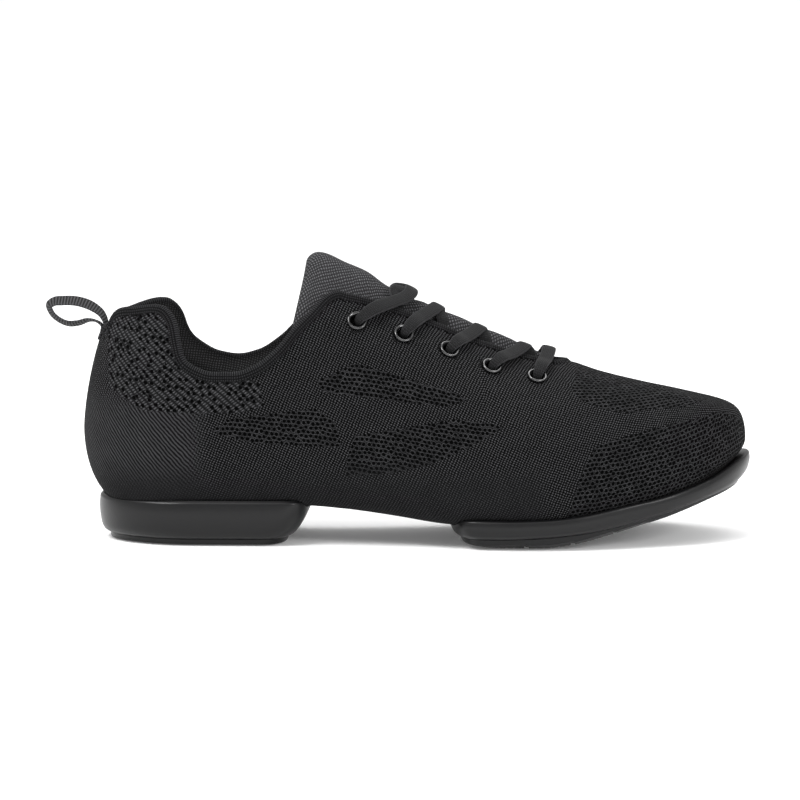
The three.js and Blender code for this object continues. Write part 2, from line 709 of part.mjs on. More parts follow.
// A ring with a rolled crown on the outside and a clinched flange inside
function eyelet() {
  const hole = EYELET_HOLE / 2;
  const clinch = WALL + EYELET_SEAT;
  const profile = [
    [hole, -clinch - EYELET_METAL],
    [barrelRadius + EYELET_FLANGE, -clinch - EYELET_METAL],
    [barrelRadius + EYELET_FLANGE, -clinch],
    [barrelRadius, -clinch],
    [barrelRadius, EYELET_SEAT],
    [EYELET_DIAMETER / 2, EYELET_SEAT],
    [mix(hole, EYELET_DIAMETER / 2, 0.75), EYELET_SEAT + EYELET_CROWN],
    [mix(hole, EYELET_DIAMETER / 2, 0.25), EYELET_SEAT + EYELET_CROWN],
    [hole, -clinch - EYELET_METAL],
  ];
  return new THREE.LatheGeometry(profile.map(([r, h]) => new THREE.Vector2(r, h)), EYELET_SIDES);
}

// Outline of a sole at one level: lateral side from rear to front, then the medial side back
function soleRing(sole, share, inset, height) {
  const rear = sole.rear(share) + inset;
  const front = sole.front(share) - inset;
  const bend = (length, power, k) => {
    const angle = ((Math.PI / 2) * k) / sole.turnSteps;
    const away = length * (1 - Math.max(0, Math.cos(angle)) ** (2 / power));
    return { away, keep: Math.sin(angle) ** (2 / power) };
  };
  const stops = [];
  for (let k = 0; k <= sole.turnSteps; k += 1) {
    const { away, keep } = bend(sole.rearRound, sole.rearPower, k);
    stops.push({ x: rear + away, keep });
  }
  for (let k = 1; k < sole.middleSteps; k += 1) {
    const x = mix(rear + sole.rearRound, front - sole.frontRound, k / sole.middleSteps);
    stops.push({ x, keep: 1 });
  }
  for (let k = sole.turnSteps; k >= 0; k -= 1) {
    const { away, keep } = bend(sole.frontRound, sole.frontPower, k);
    stops.push({ x: front - away, keep });
  }
  const corner = (stop, side) => {
    const wide = (half(stop.x) + sole.margin(stop.x) - inset) * stop.keep;
    return new THREE.Vector3(stop.x, centre(stop.x) + side * wide, height(stop.x));
  };
  const lateral = stops.map((stop) => corner(stop, LATERAL));
  const medial = stops.map((stop) => corner(stop, MEDIAL));
  return { lateral, medial };
}

// A sole before it is hollowed for the last: rings from the lip down, closed across top and tread
function soleBlock(sole) {
  const side = (share) => (x) => mix(sole.under(x), sole.lip(x), share);
  const rings = SOLE_SIDE.map(({ share, inset }) => {
    return soleRing(sole, share, inset * SOLE_ROUNDING, side(share));
  });
  const edge = (x) => sole.floor(x) + sole.edge(x);
  const step = (x) => mix(sole.under(x), edge(x), TREAD_STEP);
  rings.push(soleRing(sole, 0, TREAD_INSET - TREAD_DRAFT, step));
  rings.push(soleRing(sole, 0, TREAD_INSET, edge));
  rings.push(soleRing(sole, 0, TREAD_FLAT, sole.floor));
  const count = rings[0].lateral.length;
  const loops = rings.map(({ lateral, medial }) => [...lateral, ...medial.slice(1, -1).toReversed()]);
  const columns = loops[0].map((_, k) => loops.map((loop) => loop[k]));
  const faces = wrapFaces(columns);
  const lid = ({ lateral, medial }) => {
    const cells = [];
    for (let k = 0; k + 1 < count; k += 1) {
      cells.push([lateral[k], lateral[k + 1], medial[k + 1]]);
      cells.push([lateral[k], medial[k + 1], medial[k]]);
    }
    return cells;
  };
  faces.push(...lid(rings[0]), ...flipped(lid(rings.at(-1))));
  return toSolid(geometryOf(faces));
}

function grooves(sole) {
  const cuts = GROOVES.map((share) => share * UPPER_LENGTH);
  return cuts.filter((x) => x > sole.rear(0) && x < sole.front(0)).map((x) => {
    const box = new THREE.BoxGeometry(GROOVE_WIDTH, 2 * BALL_WIDTH, 2 * GROOVE_DEPTH);
    const climb = sole.floor(x + GROOVE_WIDTH) - sole.floor(x - GROOVE_WIDTH);
    const turn = new THREE.Object3D();
    turn.position.set(x, 0, sole.floor(x));
    turn.rotation.y = -Math.atan(climb / (2 * GROOVE_WIDTH));
    turn.updateMatrix();
    return toSolid(box.applyMatrix4(turn.matrix));
  });
}

const lastSolid = toSolid(geometryOf(wrapFaces(offsetColumns(0, lastRow, () => GAP))));

function soleSolid(sole) {
  let solid = soleBlock(sole).subtract(lastSolid);
  for (const groove of grooves(sole)) solid = solid.subtract(groove);
  return toGeometry(solid);
}

function heelSole() {
  const front = SOLE_SETBACK + HEEL_SOLE_LENGTH;
  return soleSolid({
    rear: () => SOLE_SETBACK,
    front: (share) => front - HEEL_FRONT_SLANT * (1 - share),
    rearRound: HEEL_SOLE_ROUND * UPPER_LENGTH,
    rearPower: 2,
    frontRound: HEEL_SOLE_CORNER * UPPER_LENGTH,
    frontPower: CORNER_POWER,
    turnSteps: 6,
    middleSteps: 4,
    margin: track(HEEL_SOLE, "margin", BALL_WIDTH),
    lip: track(HEEL_SOLE, "lip", HEEL_SOLE_HEIGHT),
    under: track(HEEL_SOLE, "under", HEEL_SOLE_HEIGHT),
    edge: track(HEEL_SOLE, "edge", HEEL_SOLE_HEIGHT),
    floor: track(HEEL_SOLE, "floor", HEEL_SOLE_HEIGHT),
  });
}

function forefootSole() {
  const rear = SOLE_SETBACK + FOREFOOT_SOLE_START;
  return soleSolid({
    rear: () => rear,
    front: () => UPPER_LENGTH + TOE_OVERHANG,
    rearRound: FOREFOOT_SOLE_CORNER * UPPER_LENGTH,
    rearPower: CORNER_POWER,
    frontRound: TOE_CURVE * UPPER_LENGTH,
    frontPower: 2,
    turnSteps: 7,
    middleSteps: 6,
    margin: track(FOREFOOT_SOLE, "margin", BALL_WIDTH),
    lip: track(FOREFOOT_SOLE, "lip", TOE_LIP_HEIGHT),
    under: track(FOREFOOT_SOLE, "under", TOE_LIP_HEIGHT),
    edge: track(FOREFOOT_SOLE, "edge", TOE_LIP_HEIGHT),
    floor: track(FOREFOOT_SOLE, "floor", TOE_LIP_HEIGHT),
  });
}

// The sock liner lies on the inner face of the underside and turns up a little at its edge
function insole() {
  const from = soleRow - 3;
  const drop = WALL + GAP + INSOLE_EASE;
  const thick = (row) => INSOLE_THICKNESS * INSOLE_EDGE[row - from];
  const lower = offsetColumns(from, lastRow, () => -drop, 2);
  const top = offsetColumns(from, lastRow, (_, row) => -drop - thick(row), 2);
  const faces = [...wrapFaces(lower), ...flipped(wrapFaces(top))];
  lower.forEach((column, k) => {
    const next = (k + 1) % lower.length;
    faces.push([column[0], lower[next][0], top[next][0]]);
    faces.push([column[0], top[next][0], top[k][0]]);
  });
  return geometryOf(faces);
}

// The padded tongue: it fills the throat, and its wings run on under the eyestays. Its width is laid
// round the foot, so that it follows the last however wide either of them is.
function tongue() {
  const height = track(TONGUE, "height", INSTEP_HEIGHT);
  const pad = track(TONGUE, "pad");
  const start = TONGUE[0].at * UPPER_LENGTH;
  const end = TONGUE.at(-1).at * UPPER_LENGTH;
  const layer = (face) =>
    TONGUE_LENGTHS.map((length) => {
      const middle = mix(start, end, length);
      const reach = (TONGUE_WIDTH / 2) * mix(1, TONGUE_TAPER, smooth(length * 1.1));
      const thick = mix(TONGUE_THIN, TONGUE_PAD, pad(middle));
      const tip = Math.sqrt(1 - (1 - clamp(length / TONGUE_TIP)) ** 2);
      return TONGUE_WIDTHS.map((width) => {
        const x = middle - TONGUE_LEAN * width ** 2 * smooth(1 - length * 2.5);
        const wrap = sideReach(middle, Math.sign(width));
        const across = wrap * Math.sin((width * reach) / wrap);
        const free = x < CORNER_END * UPPER_LENGTH ? TONGUE_FREE * THROAT_WIDTH : 0;
        const open = Math.max(throatHalf(x), free);
        const bare = open > 0 ? smooth((open + 1 - Math.abs(across)) / open) : 0;
        const outer = mix(-(WALL + TONGUE_ROOM), height(middle) - crown(middle), bare);
        const edge = Math.sqrt(1 - Math.abs(width) ** 6 * TONGUE_EDGE);
        const swell = 0.5 * thick * edge * mix(TONGUE_BLUNT, 1, tip);
        return overFoot(x, across, outer - thick / 2 + face * swell);
      });
    });
  const top = layer(1);
  const back = layer(-1);
  const faces = [...sheetFaces(top), ...flipped(sheetFaces(back))];
  const edgeOf = (sheet) => [
    ...sheet[0],
    ...sheet.slice(1, -1).map((line) => line.at(-1)),
    ...sheet.at(-1).toReversed(),
    ...sheet.slice(1, -1).toReversed().map((line) => line[0]),
  ];
  const rims = [edgeOf(top), edgeOf(back)];
  rims[0].forEach((p, k) => {
    const next = (k + 1) % rims[0].length;
    faces.push([p, rims[1][k], rims[1][next]]);
    faces.push([p, rims[1][next], rims[0][next]]);
  });
  return geometryOf(flipped(faces));
}

// Triangles of an open sheet of points, rows along the foot and columns across it
function sheetFaces(sheet) {
  const faces = [];
  for (let i = 0; i + 1 < sheet.length; i += 1) {
    for (let j = 0; j + 1 < sheet[i].length; j += 1) {
      faces.push([sheet[i][j], sheet[i][j + 1], sheet[i + 1][j + 1]]);
      faces.push([sheet[i][j], sheet[i + 1][j + 1], sheet[i + 1][j]]);
    }
  }
  return faces;
}

// A flat strip with a given section, swept along points that each have an upward direction
function strip(path, section) {
  const rings = path.map(({ at, up }, k) => {
    const before = path[Math.max(0, k - 1)].at;
    const after = path[Math.min(path.length - 1, k + 1)].at;
    const along = after.clone().sub(before).normalize();
    const across = along.clone().cross(up).normalize();
    const normal = across.clone().cross(along);
    const corner = ([wide, high]) => at.clone().addScaledVector(across, wide).addScaledVector(normal, high);
    return section.map(corner);
  });
  const faces = [];
  for (let k = 0; k + 1 < rings.length; k += 1) {
    section.forEach((_, i) => {
      const j = (i + 1) % section.length;
      faces.push([rings[k][i], rings[k][j], rings[k + 1][j]]);
      faces.push([rings[k][i], rings[k + 1][j], rings[k + 1][i]]);
    });
  }
  for (let i = 1; i + 1 < section.length; i += 1) {
    faces.push([rings[0][0], rings[0][i + 1], rings[0][i]]);
    faces.push([rings.at(-1)[0], rings.at(-1)[i], rings.at(-1)[i + 1]]);
  }
  return geometryOf(faces);
}

function laceSection() {
  const [wide, high] = [LACE_WIDTH / 2, LACE_THICKNESS / 2];
  const flat = LACE_FLAT * wide;
  return [[wide, 0], [flat, -high], [-flat, -high], [-wide, 0], [-flat, high], [flat, high]];
}

// A strand from over one eyelet to where it dives at the far edge of the throat, or over the far eyelet
function laceStrand(from, to, side, farAcross, { bow, arch }, layer) {
  const startX = from.at * UPPER_LENGTH;
  const endX = to.at * UPPER_LENGTH;
  const startAcross = side * from.across * BALL_WIDTH;
  const overEyelet = EYELET_SEAT + EYELET_CROWN + 2 * GAP + LACE_THICKNESS / 2;
  const overTongue = LACE_FLOAT + LACE_THICKNESS / 2;
  const path = LACE_SHARES.map((share) => {
    const x = mix(startX, endX, LACE_REACH * share) + bow * LACE_WIDTH * Math.sin(Math.PI * share);
    const across = mix(startAcross, -side * farAcross, share);
    const left = Math.abs(across / startAcross);
    const inward = smooth((1 - left) / LACE_SETTLE);
    const middle = smooth(1 - left / LACE_HUMP);
    const lift = mix(overEyelet, overTongue, inward) + (layer + arch * LACE_WIDTH) * middle;
    return { at: overFoot(x, across, lift), up: crestNormal(x, ridge(x) + across) };
  });
  return strip(path, laceSection());
}

function laceCrossing(k) {
  const [from, to] = [EYELETS[k], EYELETS[k + 1]];
  const dive = Math.max(throatHalf(to.at * UPPER_LENGTH) - LACE_DIVE * LACE_WIDTH, LACE_WIDTH / 2);
  const beneath = toSolid(laceStrand(from, to, MEDIAL, dive, LACES[k], 0));
  const above = toSolid(laceStrand(from, to, LATERAL, dive, LACES[k], LACE_LAYER * LACE_THICKNESS));
  return toGeometry(above.add(beneath));
}

function laceBar() {
  const row = EYELETS.at(-1);
  return laceStrand(row, row, LATERAL, row.across * BALL_WIDTH, LACES.at(-1), 0);
}

// Back line of the upper at its middle, as a place on the heel at a given height
function heelBack(z) {
  const { points } = ribPoints(LATERAL, 0);
  const k = points.findIndex((point) => point.at.z <= z);
  const [high, low] = [points[k - 1].at, points[k].at];
  return mix(high.x, low.x, (high.z - z) / (high.z - low.z));
}

// The webbing loop: both plies run down the heel one over the other, and stand out above their root
function pullLoop() {
  const rootHeight = LOOP_ROOT * COLLAR_HEIGHT;
  const tail = LOOP_TAIL * COLLAR_HEIGHT;
  const root = heelBack(rootHeight);
  const onHeel = (z, ply) => {
    const x = heelBack(z) - LOOP_EASE - (ply + 0.5) * LOOP_THICKNESS - ply * GAP;
    return new THREE.Vector3(x, 0, z);
  };
  const points = [onHeel(rootHeight - tail, 0), onHeel(rootHeight, 0)];
  for (const { out, up } of LOOP_PATH) {
    points.push(new THREE.Vector3(root - out * LOOP_REACH - LOOP_THICKNESS, 0, rootHeight + up * LOOP_REACH));
  }
  points.push(onHeel(rootHeight - tail, 1));
  const curve = new THREE.CatmullRomCurve3(points, false, "centripetal");
  const path = Array.from({ length: LOOP_STEPS + 1 }, (_, k) => {
    const along = curve.getTangentAt(k / LOOP_STEPS);
    return { at: curve.getPointAt(k / LOOP_STEPS), up: new THREE.Vector3(-along.z, 0, along.x) };
  });
  const [wide, high] = [LOOP_WIDTH / 2, LOOP_THICKNESS / 2];
  return strip(path, [[-wide, high], [wide, high], [wide, -high], [-wide, -high]]);
}

const sneaker = new THREE.Group();

function addPart(name, geometry, material, frame = new THREE.Object3D()) {
  const mesh = new THREE.Mesh(geometry, material);
  mesh.name = name;
  mesh.position.copy(frame.position);
  mesh.quaternion.copy(frame.quaternion);
  sneaker.add(mesh);
}

addPart("upper", upper(), knit);
addPart("heel_sole", heelSole(), rubber);
addPart("forefoot_sole", forefootSole(), rubber);
addPart("insole", insole(), foam);
addPart("tongue", tongue(), padded);
addPart("pull_loop", pullLoop(), cord);

EYELETS.forEach((row, k) => {
  addPart(`eyelet_lateral_${k + 1}`, eyelet(), metal, eyeletFrame(row, LATERAL));
  addPart(`eyelet_medial_${k + 1}`, eyelet(), metal, eyeletFrame(row, MEDIAL));
});
for (let k = 0; k + 1 < EYELETS.length; k += 1) {
  addPart(`lace_crossing_${k + 1}`, laceCrossing(k), cord);
}
addPart("lace_bar", laceBar(), cord);

// The origin is on the floor under the middle of the heel tread
const HEEL_TREAD_MIDDLE = 0.5 * (HEEL_SOLE_LENGTH - HEEL_FRONT_SLANT);
sneaker.position.set(-(SOLE_SETBACK + HEEL_TREAD_MIDDLE), 0, 0);

export default sneaker;
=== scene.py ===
# %% [markdown]
# # A knitted dance sneaker
# The shoe is a knitted upper, lasted over a foot shape and glued to two separate rubber soles,
# one under the heel and one under the ball of the foot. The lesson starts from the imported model,
# which holds the true sizes, and dresses each of its solids with a finer piece and a real finish.

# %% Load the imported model
import math

import bpy
import numpy as np
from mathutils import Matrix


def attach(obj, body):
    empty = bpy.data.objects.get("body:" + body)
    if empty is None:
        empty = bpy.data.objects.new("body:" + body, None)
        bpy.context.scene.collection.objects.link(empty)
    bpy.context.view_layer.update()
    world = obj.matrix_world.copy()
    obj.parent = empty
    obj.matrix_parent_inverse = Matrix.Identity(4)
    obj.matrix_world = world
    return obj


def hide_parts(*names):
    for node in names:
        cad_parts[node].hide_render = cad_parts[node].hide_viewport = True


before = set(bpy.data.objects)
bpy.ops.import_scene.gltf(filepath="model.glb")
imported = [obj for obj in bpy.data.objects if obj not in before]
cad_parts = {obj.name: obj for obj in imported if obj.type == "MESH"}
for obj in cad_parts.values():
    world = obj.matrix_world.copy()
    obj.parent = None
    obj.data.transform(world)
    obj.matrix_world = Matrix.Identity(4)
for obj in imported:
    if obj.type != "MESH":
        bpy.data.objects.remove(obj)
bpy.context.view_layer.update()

print("nodes in the frame:", len(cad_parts))

# %% [markdown]
# ## Sizes of the last
# A shoe is drawn over a last, the solid form of the foot. Its length, ball width, instep and heel
# heights drive everything, and short tables give the sections as shares of them. They repeat the
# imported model's own sizes, in millimetres, so that the fine surfaces fall on its solids.

# %% Named sizes and tables
MM = 0.001
UPPER_LENGTH = 269.6
BALL_WIDTH = 93.6
INSTEP_HEIGHT = 109.5
COLLAR_HEIGHT = 93.5
HEEL_SOLE_HEIGHT = 18.6
TOE_LIP_HEIGHT = 34.7
THROAT_WIDTH = 32
WALL = 2.2
GAP = 0.3
SOLE_SETBACK = 6.1
HEEL_SOLE_LENGTH = 88.2
HEEL_FRONT_SLANT = 6.5
LATERAL, MEDIAL = -1, 1
HEEL_MIDDLE = 0.5 * (HEEL_SOLE_LENGTH - HEEL_FRONT_SLANT)
ORIGIN = np.array([SOLE_SETBACK + HEEL_MIDDLE, 0.0, 0.0])


def table(names, rows):
    return {name: np.array(column, float) for name, column in zip(names.split(), zip(*rows))}


# At shares of the length: half width, middle line and ridge as shares of the ball width, crown of the
# instep, roundness of the section, height of its widest line, seat, rise and tuck of the base
LAST = table("at half centre ridge crown round widest seat rise tuck", [
    (0.0, 0.358, 0.0, 0.0, 0.968, 2.0, 0.337, 0.75, 0.0, 5),
    (0.059, 0.365, 0.0, 0.0, 0.982, 2.0, 0.286, 0.71, 0.0, 6),
    (0.134, 0.371, -0.003, 0.0, 1.032, 2.1, 0.235, 0.7, 0.0, 6),
    (0.245, 0.372, -0.011, 0.0, 1.078, 2.1, 0.213, 0.715, 0.0, 6),
    (0.338, 0.363, -0.022, 0.0, 1.055, 2.0, 0.18, 0.81, 0.0, 7),
    (0.393, 0.363, -0.034, 0.0, 1.0, 1.98, 0.178, 0.765, 0.0, 8),
    (0.456, 0.378, -0.045, 0.0, 0.931, 1.88, 0.19, 0.595, 0.032, 8),
    (0.53, 0.41, -0.051, 0.004, 0.838, 1.74, 0.197, 0.31, 0.098, 8),
    (0.597, 0.453, -0.046, 0.013, 0.762, 1.5, 0.196, 0.0, 0.233, 8),
    (0.671, 0.49, -0.017, 0.025, 0.692, 1.55, 0.2, 0.0, 0.222, 8),
    (0.731, 0.499, 0.006, 0.034, 0.654, 1.75, 0.21, 0.0, 0.25, 8),
    (0.783, 0.481, 0.024, 0.042, 0.611, 1.9, 0.225, 0.0, 0.31, 8),
    (0.853, 0.437, 0.044, 0.053, 0.567, 2.15, 0.26, 0.0, 0.43, 8),
    (0.927, 0.4, 0.063, 0.065, 0.522, 2.5, 0.325, 0.0, 0.6, 7),
    (0.968, 0.385, 0.071, 0.071, 0.502, 3.0, 0.38, 0.0, 0.74, 6),
    (1.0, 0.37, 0.075, 0.075, 0.484, 3.0, 0.437, 0.0, 0.85, 5)])

COLLAR = table("at lateral medial", [
    (0.0, 0.925, 0.925), (0.037, 0.938, 0.938), (0.043, 0.974, 0.965), (0.05, 0.999, 0.98),
    (0.058, 1.013, 0.989), (0.067, 1.02, 0.997), (0.08, 1.024, 1.01), (0.1, 1.034, 1.026),
    (0.112, 1.038, 1.03), (0.122, 1.034, 1.027), (0.131, 1.022, 1.013), (0.139, 0.998, 0.99),
    (0.145, 0.965, 0.96), (0.15, 0.907, 0.92), (0.155, 0.847, 0.885), (0.162, 0.805, 0.854),
    (0.172, 0.782, 0.828), (0.2, 0.757, 0.783), (0.23, 0.757, 0.769), (0.26, 0.784, 0.789),
    (0.294, 0.86, 0.853), (0.317, 0.94, 0.92), (0.34, 1.004, 0.995), (0.354, 1.048, 1.042),
    (0.364, 1.075, 1.072), (0.377, 1.091, 1.09), (0.392, 1.096, 1.096), (0.408, 1.1, 1.1),
    (0.419, 1.4, 1.4)])

THROAT = table("at open", [
    (0.393, 0.5), (0.482, 0.4), (0.553, 0.312), (0.615, 0.26), (0.69, 0.203)])


# %% Curves through the tables
def mix(a, b, share):
    return a + (b - a) * share


def clamp(value):
    return np.clip(value, 0.0, 1.0)


def smooth(value):
    return clamp(value) ** 2 * (3 - 2 * clamp(value))


def quarter_round(value):
    """Rises from 0 to 1 like a quarter of a circle."""
    return np.sqrt(1 - (1 - clamp(value)) ** 2)


def run_of(line):
    """Length along a line of points, from its start."""
    return np.concatenate([[0], np.cumsum(np.linalg.norm(np.diff(line, axis=0), axis=1))])


def cubic(t, span, start, end, slope, next_slope):
    """The curve between two stops with given slopes, at shares t of the span."""
    lead = (1 - t) ** 2 * ((1 + 2 * t) * start + t * span * slope)
    return lead + t ** 2 * ((3 - 2 * t) * end - (1 - t) * span * next_slope)


def through(xs, ys):
    """A smooth curve through points, which never swings past them."""
    xs, ys = np.asarray(xs, float), np.asarray(ys, float)
    rises = np.diff(ys) / np.diff(xs)
    before, after = rises[:-1], rises[1:]
    total = np.where(before + after == 0, 1, before + after)
    inner = np.where(before * after > 0, 2 * before * after / total, 0)
    slopes = np.concatenate([rises[:1], inner, rises[-1:]])

    def curve(x):
        x = np.clip(np.asarray(x, float), xs[0], xs[-1])
        k = np.clip(np.searchsorted(xs, x, side="right") - 1, 0, len(xs) - 2)
        span = xs[k + 1] - xs[k]
        return cubic((x - xs[k]) / span, span, ys[k], ys[k + 1], slopes[k], slopes[k + 1])

    return curve


def track(rows, column, size=1.0):
    return through(rows["at"] * UPPER_LENGTH, rows[column] * size)


half, centre, ridge = (track(LAST, name, BALL_WIDTH) for name in ("half", "centre", "ridge"))
crown = track(LAST, "crown", INSTEP_HEIGHT)
roundness, widest, tuck = (track(LAST, name) for name in ("round", "widest", "tuck"))
seat, rise = track(LAST, "seat", HEEL_SOLE_HEIGHT), track(LAST, "rise", TOE_LIP_HEIGHT)
collar_lateral, collar_medial = (track(COLLAR, name, COLLAR_HEIGHT) for name in ("lateral", "medial"))
throat = track(THROAT, "open", THROAT_WIDTH)


def underside(x):
    return seat(x) + rise(x)


def side_height(x):
    return mix(underside(x), crown(x), widest(x))


print("instep", round(float(crown(0.393 * UPPER_LENGTH)), 1), "mm high over the floor")

# %% [markdown]
# ## Ribs round the last
# The upper is built from ribs, curves that start on the middle line of the foot, run over the side
# and tuck in under the foot. At the heel and the toe they fan out, as the knit does when it is
# pulled over the last. A collar line and a throat line cut them short at the top.

# %% One rib
HEEL_ROUND, COLLAR_STEP_START, COLLAR_STEP_END = 0.111, 0.134, 0.163
CORNER_START, CORNER_END, COLLAR_END = 0.371, 0.408, 0.41
THROAT_TAIL, THROAT_END, TOE_ROUND = 0.668, 0.72, 0.845
HEEL_CURVE, TOE_CURVE, HEEL_TURN, TOE_TURN = 0.141, 0.16, 0.19, 0.727
HEEL_OPEN_END, BALL_OPEN_START, OPEN_TAPER, LASTING_SHARE = 0.32, 0.585, 0.075, 0.6
SPINE_END = 1.2
TONGUE_START = 0.338
RIM_ROUND = 1.0
STEPS = 48
HEEL_TOP, HEEL_BASE, HEEL_LEAN = 2.0, 3, 1.5      # how square the section is at the heel's end
TOE_TOP, TOE_BASE, LEAN = 14, 4, 2                # and at the toe's, and how far its shoulders lean
FLAT_TOP, FLAT_BASE = 0.7, 0.85                   # shares of a rib counted by width, not by angle


def end_round(x):
    """How much of its full width the last keeps near its rounded ends."""
    from_heel = x / (HEEL_CURVE * UPPER_LENGTH)
    from_toe = (UPPER_LENGTH - x) / (TOE_CURVE * UPPER_LENGTH)
    return quarter_round(from_heel) * quarter_round(from_toe)


def spine(x):
    turn, bend = HEEL_TURN * UPPER_LENGTH, TOE_TURN * UPPER_LENGTH
    if x < turn:
        s = x + (turn - x) ** 2 / (2 * turn)
        return turn / 2 if s - turn / 2 < SPINE_END else s
    if x > bend:
        s = x - (x - bend) ** 2 / (2 * (UPPER_LENGTH - bend))
        last = (UPPER_LENGTH + bend) / 2
        return last if last - s < SPINE_END else s
    return x


def throat_half(x):
    start, end = TONGUE_START * UPPER_LENGTH, THROAT_END * UPPER_LENGTH
    return np.where((x < start) | (x >= end), 0.0, throat(x) * quarter_round((end - x) / throat(end)))


def collar_edge(x, across):
    return np.where(across < 0, collar_lateral(x), collar_medial(x))


def is_kept(p, ease):
    """Below the collar line and outside the throat, each moved back by the rim's rounding."""
    x = p[..., 0]
    across = p[..., 1] - ridge(x)
    slope = (collar_edge(x + 0.5, across) - collar_edge(x - 0.5, across)) * (x < COLLAR_END * UPPER_LENGTH)
    low = p[..., 2] <= collar_edge(x, across) - ease * np.sqrt(1 + slope ** 2)
    open_half = throat_half(x - ease)
    return low & (np.abs(across) >= open_half + ease * (open_half > 0) - 1e-6)


def open_share(x):
    past = max(HEEL_OPEN_END * UPPER_LENGTH - x, x - BALL_OPEN_START * UPPER_LENGTH)
    return LASTING_SHARE * quarter_round(past / (OPEN_TAPER * UPPER_LENGTH))


def rib(side, x):
    """The points of one rib from top to bottom, with how far out from the spine each one is."""
    s = spine(x)
    root = np.array([s, float(ridge(s))])
    edge = np.array([x, float(centre(x) + side * half(x) * end_round(x))])
    run = np.linalg.norm(edge - root)
    back, front = clamp((root[0] - edge[0]) / run), clamp((edge[0] - root[0]) / run)
    top = mix(mix(roundness(x), HEEL_TOP, back ** 2), TOE_TOP, front ** 4)
    lean = mix(LEAN, HEEL_LEAN, back)
    base = mix(mix(tuck(x), HEEL_BASE, back ** 2), TOE_BASE, front ** 2)
    share = np.arange(STEPS + 1) / STEPS
    flat = FLAT_TOP * share[:-1]
    turn = mix(math.asin(FLAT_TOP ** (top / 2)), math.pi / 2, share)
    under = mix(math.pi / 2, math.asin(FLAT_BASE ** (base / 2)), share[1:])
    inward = FLAT_BASE * (1 - share[1:])
    out = np.concatenate([flat, np.sin(turn) ** (2 / top), np.sin(under) ** (2 / base), inward])
    lift = np.concatenate([(1 - flat ** top) ** (1 / lean), np.maximum(0, np.cos(turn)) ** (2 / lean),
                           np.cos(under), np.sqrt(1 - inward ** base)])
    plan = root + (edge - root) * out[:, None]
    above = np.arange(len(out)) <= 2 * STEPS
    level = side_height(x)
    z = np.where(above, mix(level, crown(plan[:, 0]), lift), mix(level, underside(plan[:, 0]), lift))
    return out, np.column_stack([plan, z]), front


# %% Rows along a rib
BEAD_ROWS = np.array([0.0, 0.4, 0.8, 1.3, 1.8, 2.3, 2.7, 3.0, 3.25, 3.5, 3.8, 4.2, 4.8])
LID_ROWS, WALL_ROWS, BASE_ROWS, REST_ROWS = 6, 34, 26, 6
HALVINGS = 24
RIM = LID_ROWS
WIDEST = RIM + len(BEAD_ROWS) - 1 + WALL_ROWS
EDGE = WIDEST + BASE_ROWS
LAST_ROW = EDGE + REST_ROWS


def along(points, start, end, shares):
    """Points at shares of the length between two places of a rib, and the length itself."""
    places = np.unique(np.concatenate([[start], np.arange(math.ceil(start), math.floor(end) + 1), [end]]))
    count = np.arange(len(points))
    line = np.column_stack([np.interp(places, count, points[:, k]) for k in range(3)])
    lengths = run_of(line)
    goals = shares(lengths[-1]) * lengths[-1]
    return np.column_stack([np.interp(goals, lengths, line[:, k]) for k in range(3)])


def rib_rows(side, x, ease):
    out, points, front = rib(side, x)
    kept = is_kept(points, ease)
    k = int(np.argmax(kept))
    top = 0.0
    if k > 0:
        low, high = 0.0, 1.0
        for _ in range(HALVINGS):
            middle = (low + high) / 2
            if is_kept(mix(points[k - 1], points[k], middle), ease):
                high = middle
            else:
                low = middle
        top = k - 1 + high
    bulge, last = 2 * STEPS, len(points) - 1
    open_to = open_share(x)
    bottom = float(last)
    if open_to > 0:
        k = bulge + int(np.argmax(out[bulge + 1:] <= open_to))
        bottom = k + (out[k] - open_to) / (out[k] - out[k + 1])

    def wall(total):
        bead = np.minimum(BEAD_ROWS / total, 0.5)
        even = np.arange(1, WALL_ROWS + 1) / WALL_ROWS
        return np.concatenate([bead, mix(bead[-1], 1, mix(even, np.sqrt(even), front))])

    rows = [along(points, 0, top, lambda _: np.arange(LID_ROWS) / LID_ROWS)
            if top > 0 else np.repeat(points[:1], LID_ROWS, 0),
            along(points, top, bulge, wall),
            along(points, bulge, bottom, lambda _: np.arange(1, BASE_ROWS + 1) / BASE_ROWS),
            along(points, bottom, last, lambda _: np.arange(1, REST_ROWS + 1) / REST_ROWS)
            if bottom < last else np.repeat(points[-1:], REST_ROWS, 0)]
    return np.vstack(rows), top == 0, bottom == last


# %% The whole last as a grid
NEAR = 0.002


def between(start, end, count, ease=lambda t: t):
    return [UPPER_LENGTH * mix(start, end, ease((k + 1) / count)) for k in range(count)]


def rib_places(fine):
    slow_start = lambda t: 1 - math.cos(t * math.pi / 2)
    slow_end = lambda t: math.sin(t * math.pi / 2)
    stops = [(0, HEEL_ROUND, 6, slow_start), (HEEL_ROUND, COLLAR_STEP_START, 2),
             (COLLAR_STEP_START, COLLAR_STEP_END, 5), (COLLAR_STEP_END, CORNER_START, 7),
             (CORNER_START, CORNER_END, 3), (CORNER_END, THROAT_TAIL, 8),
             (THROAT_TAIL, THROAT_END, 3, slow_end), (THROAT_END, TOE_ROUND, 4),
             (TOE_ROUND, 1, 8, slow_end)]
    return [0.0, *(x for start, end, count, *ease in stops
                   for x in between(start, end, count * fine, *ease))]


def wrap_quads(columns, rows, closed=True):
    """Quads of a grid of columns, which closes on itself or stays open."""
    i, j = np.meshgrid(np.arange(columns if closed else columns - 1), np.arange(rows - 1), indexing="ij")
    here, there = i * rows + j, ((i + 1) % columns) * rows + j
    return np.stack([here, here + 1, there + 1, there], -1).reshape(-1, 4)


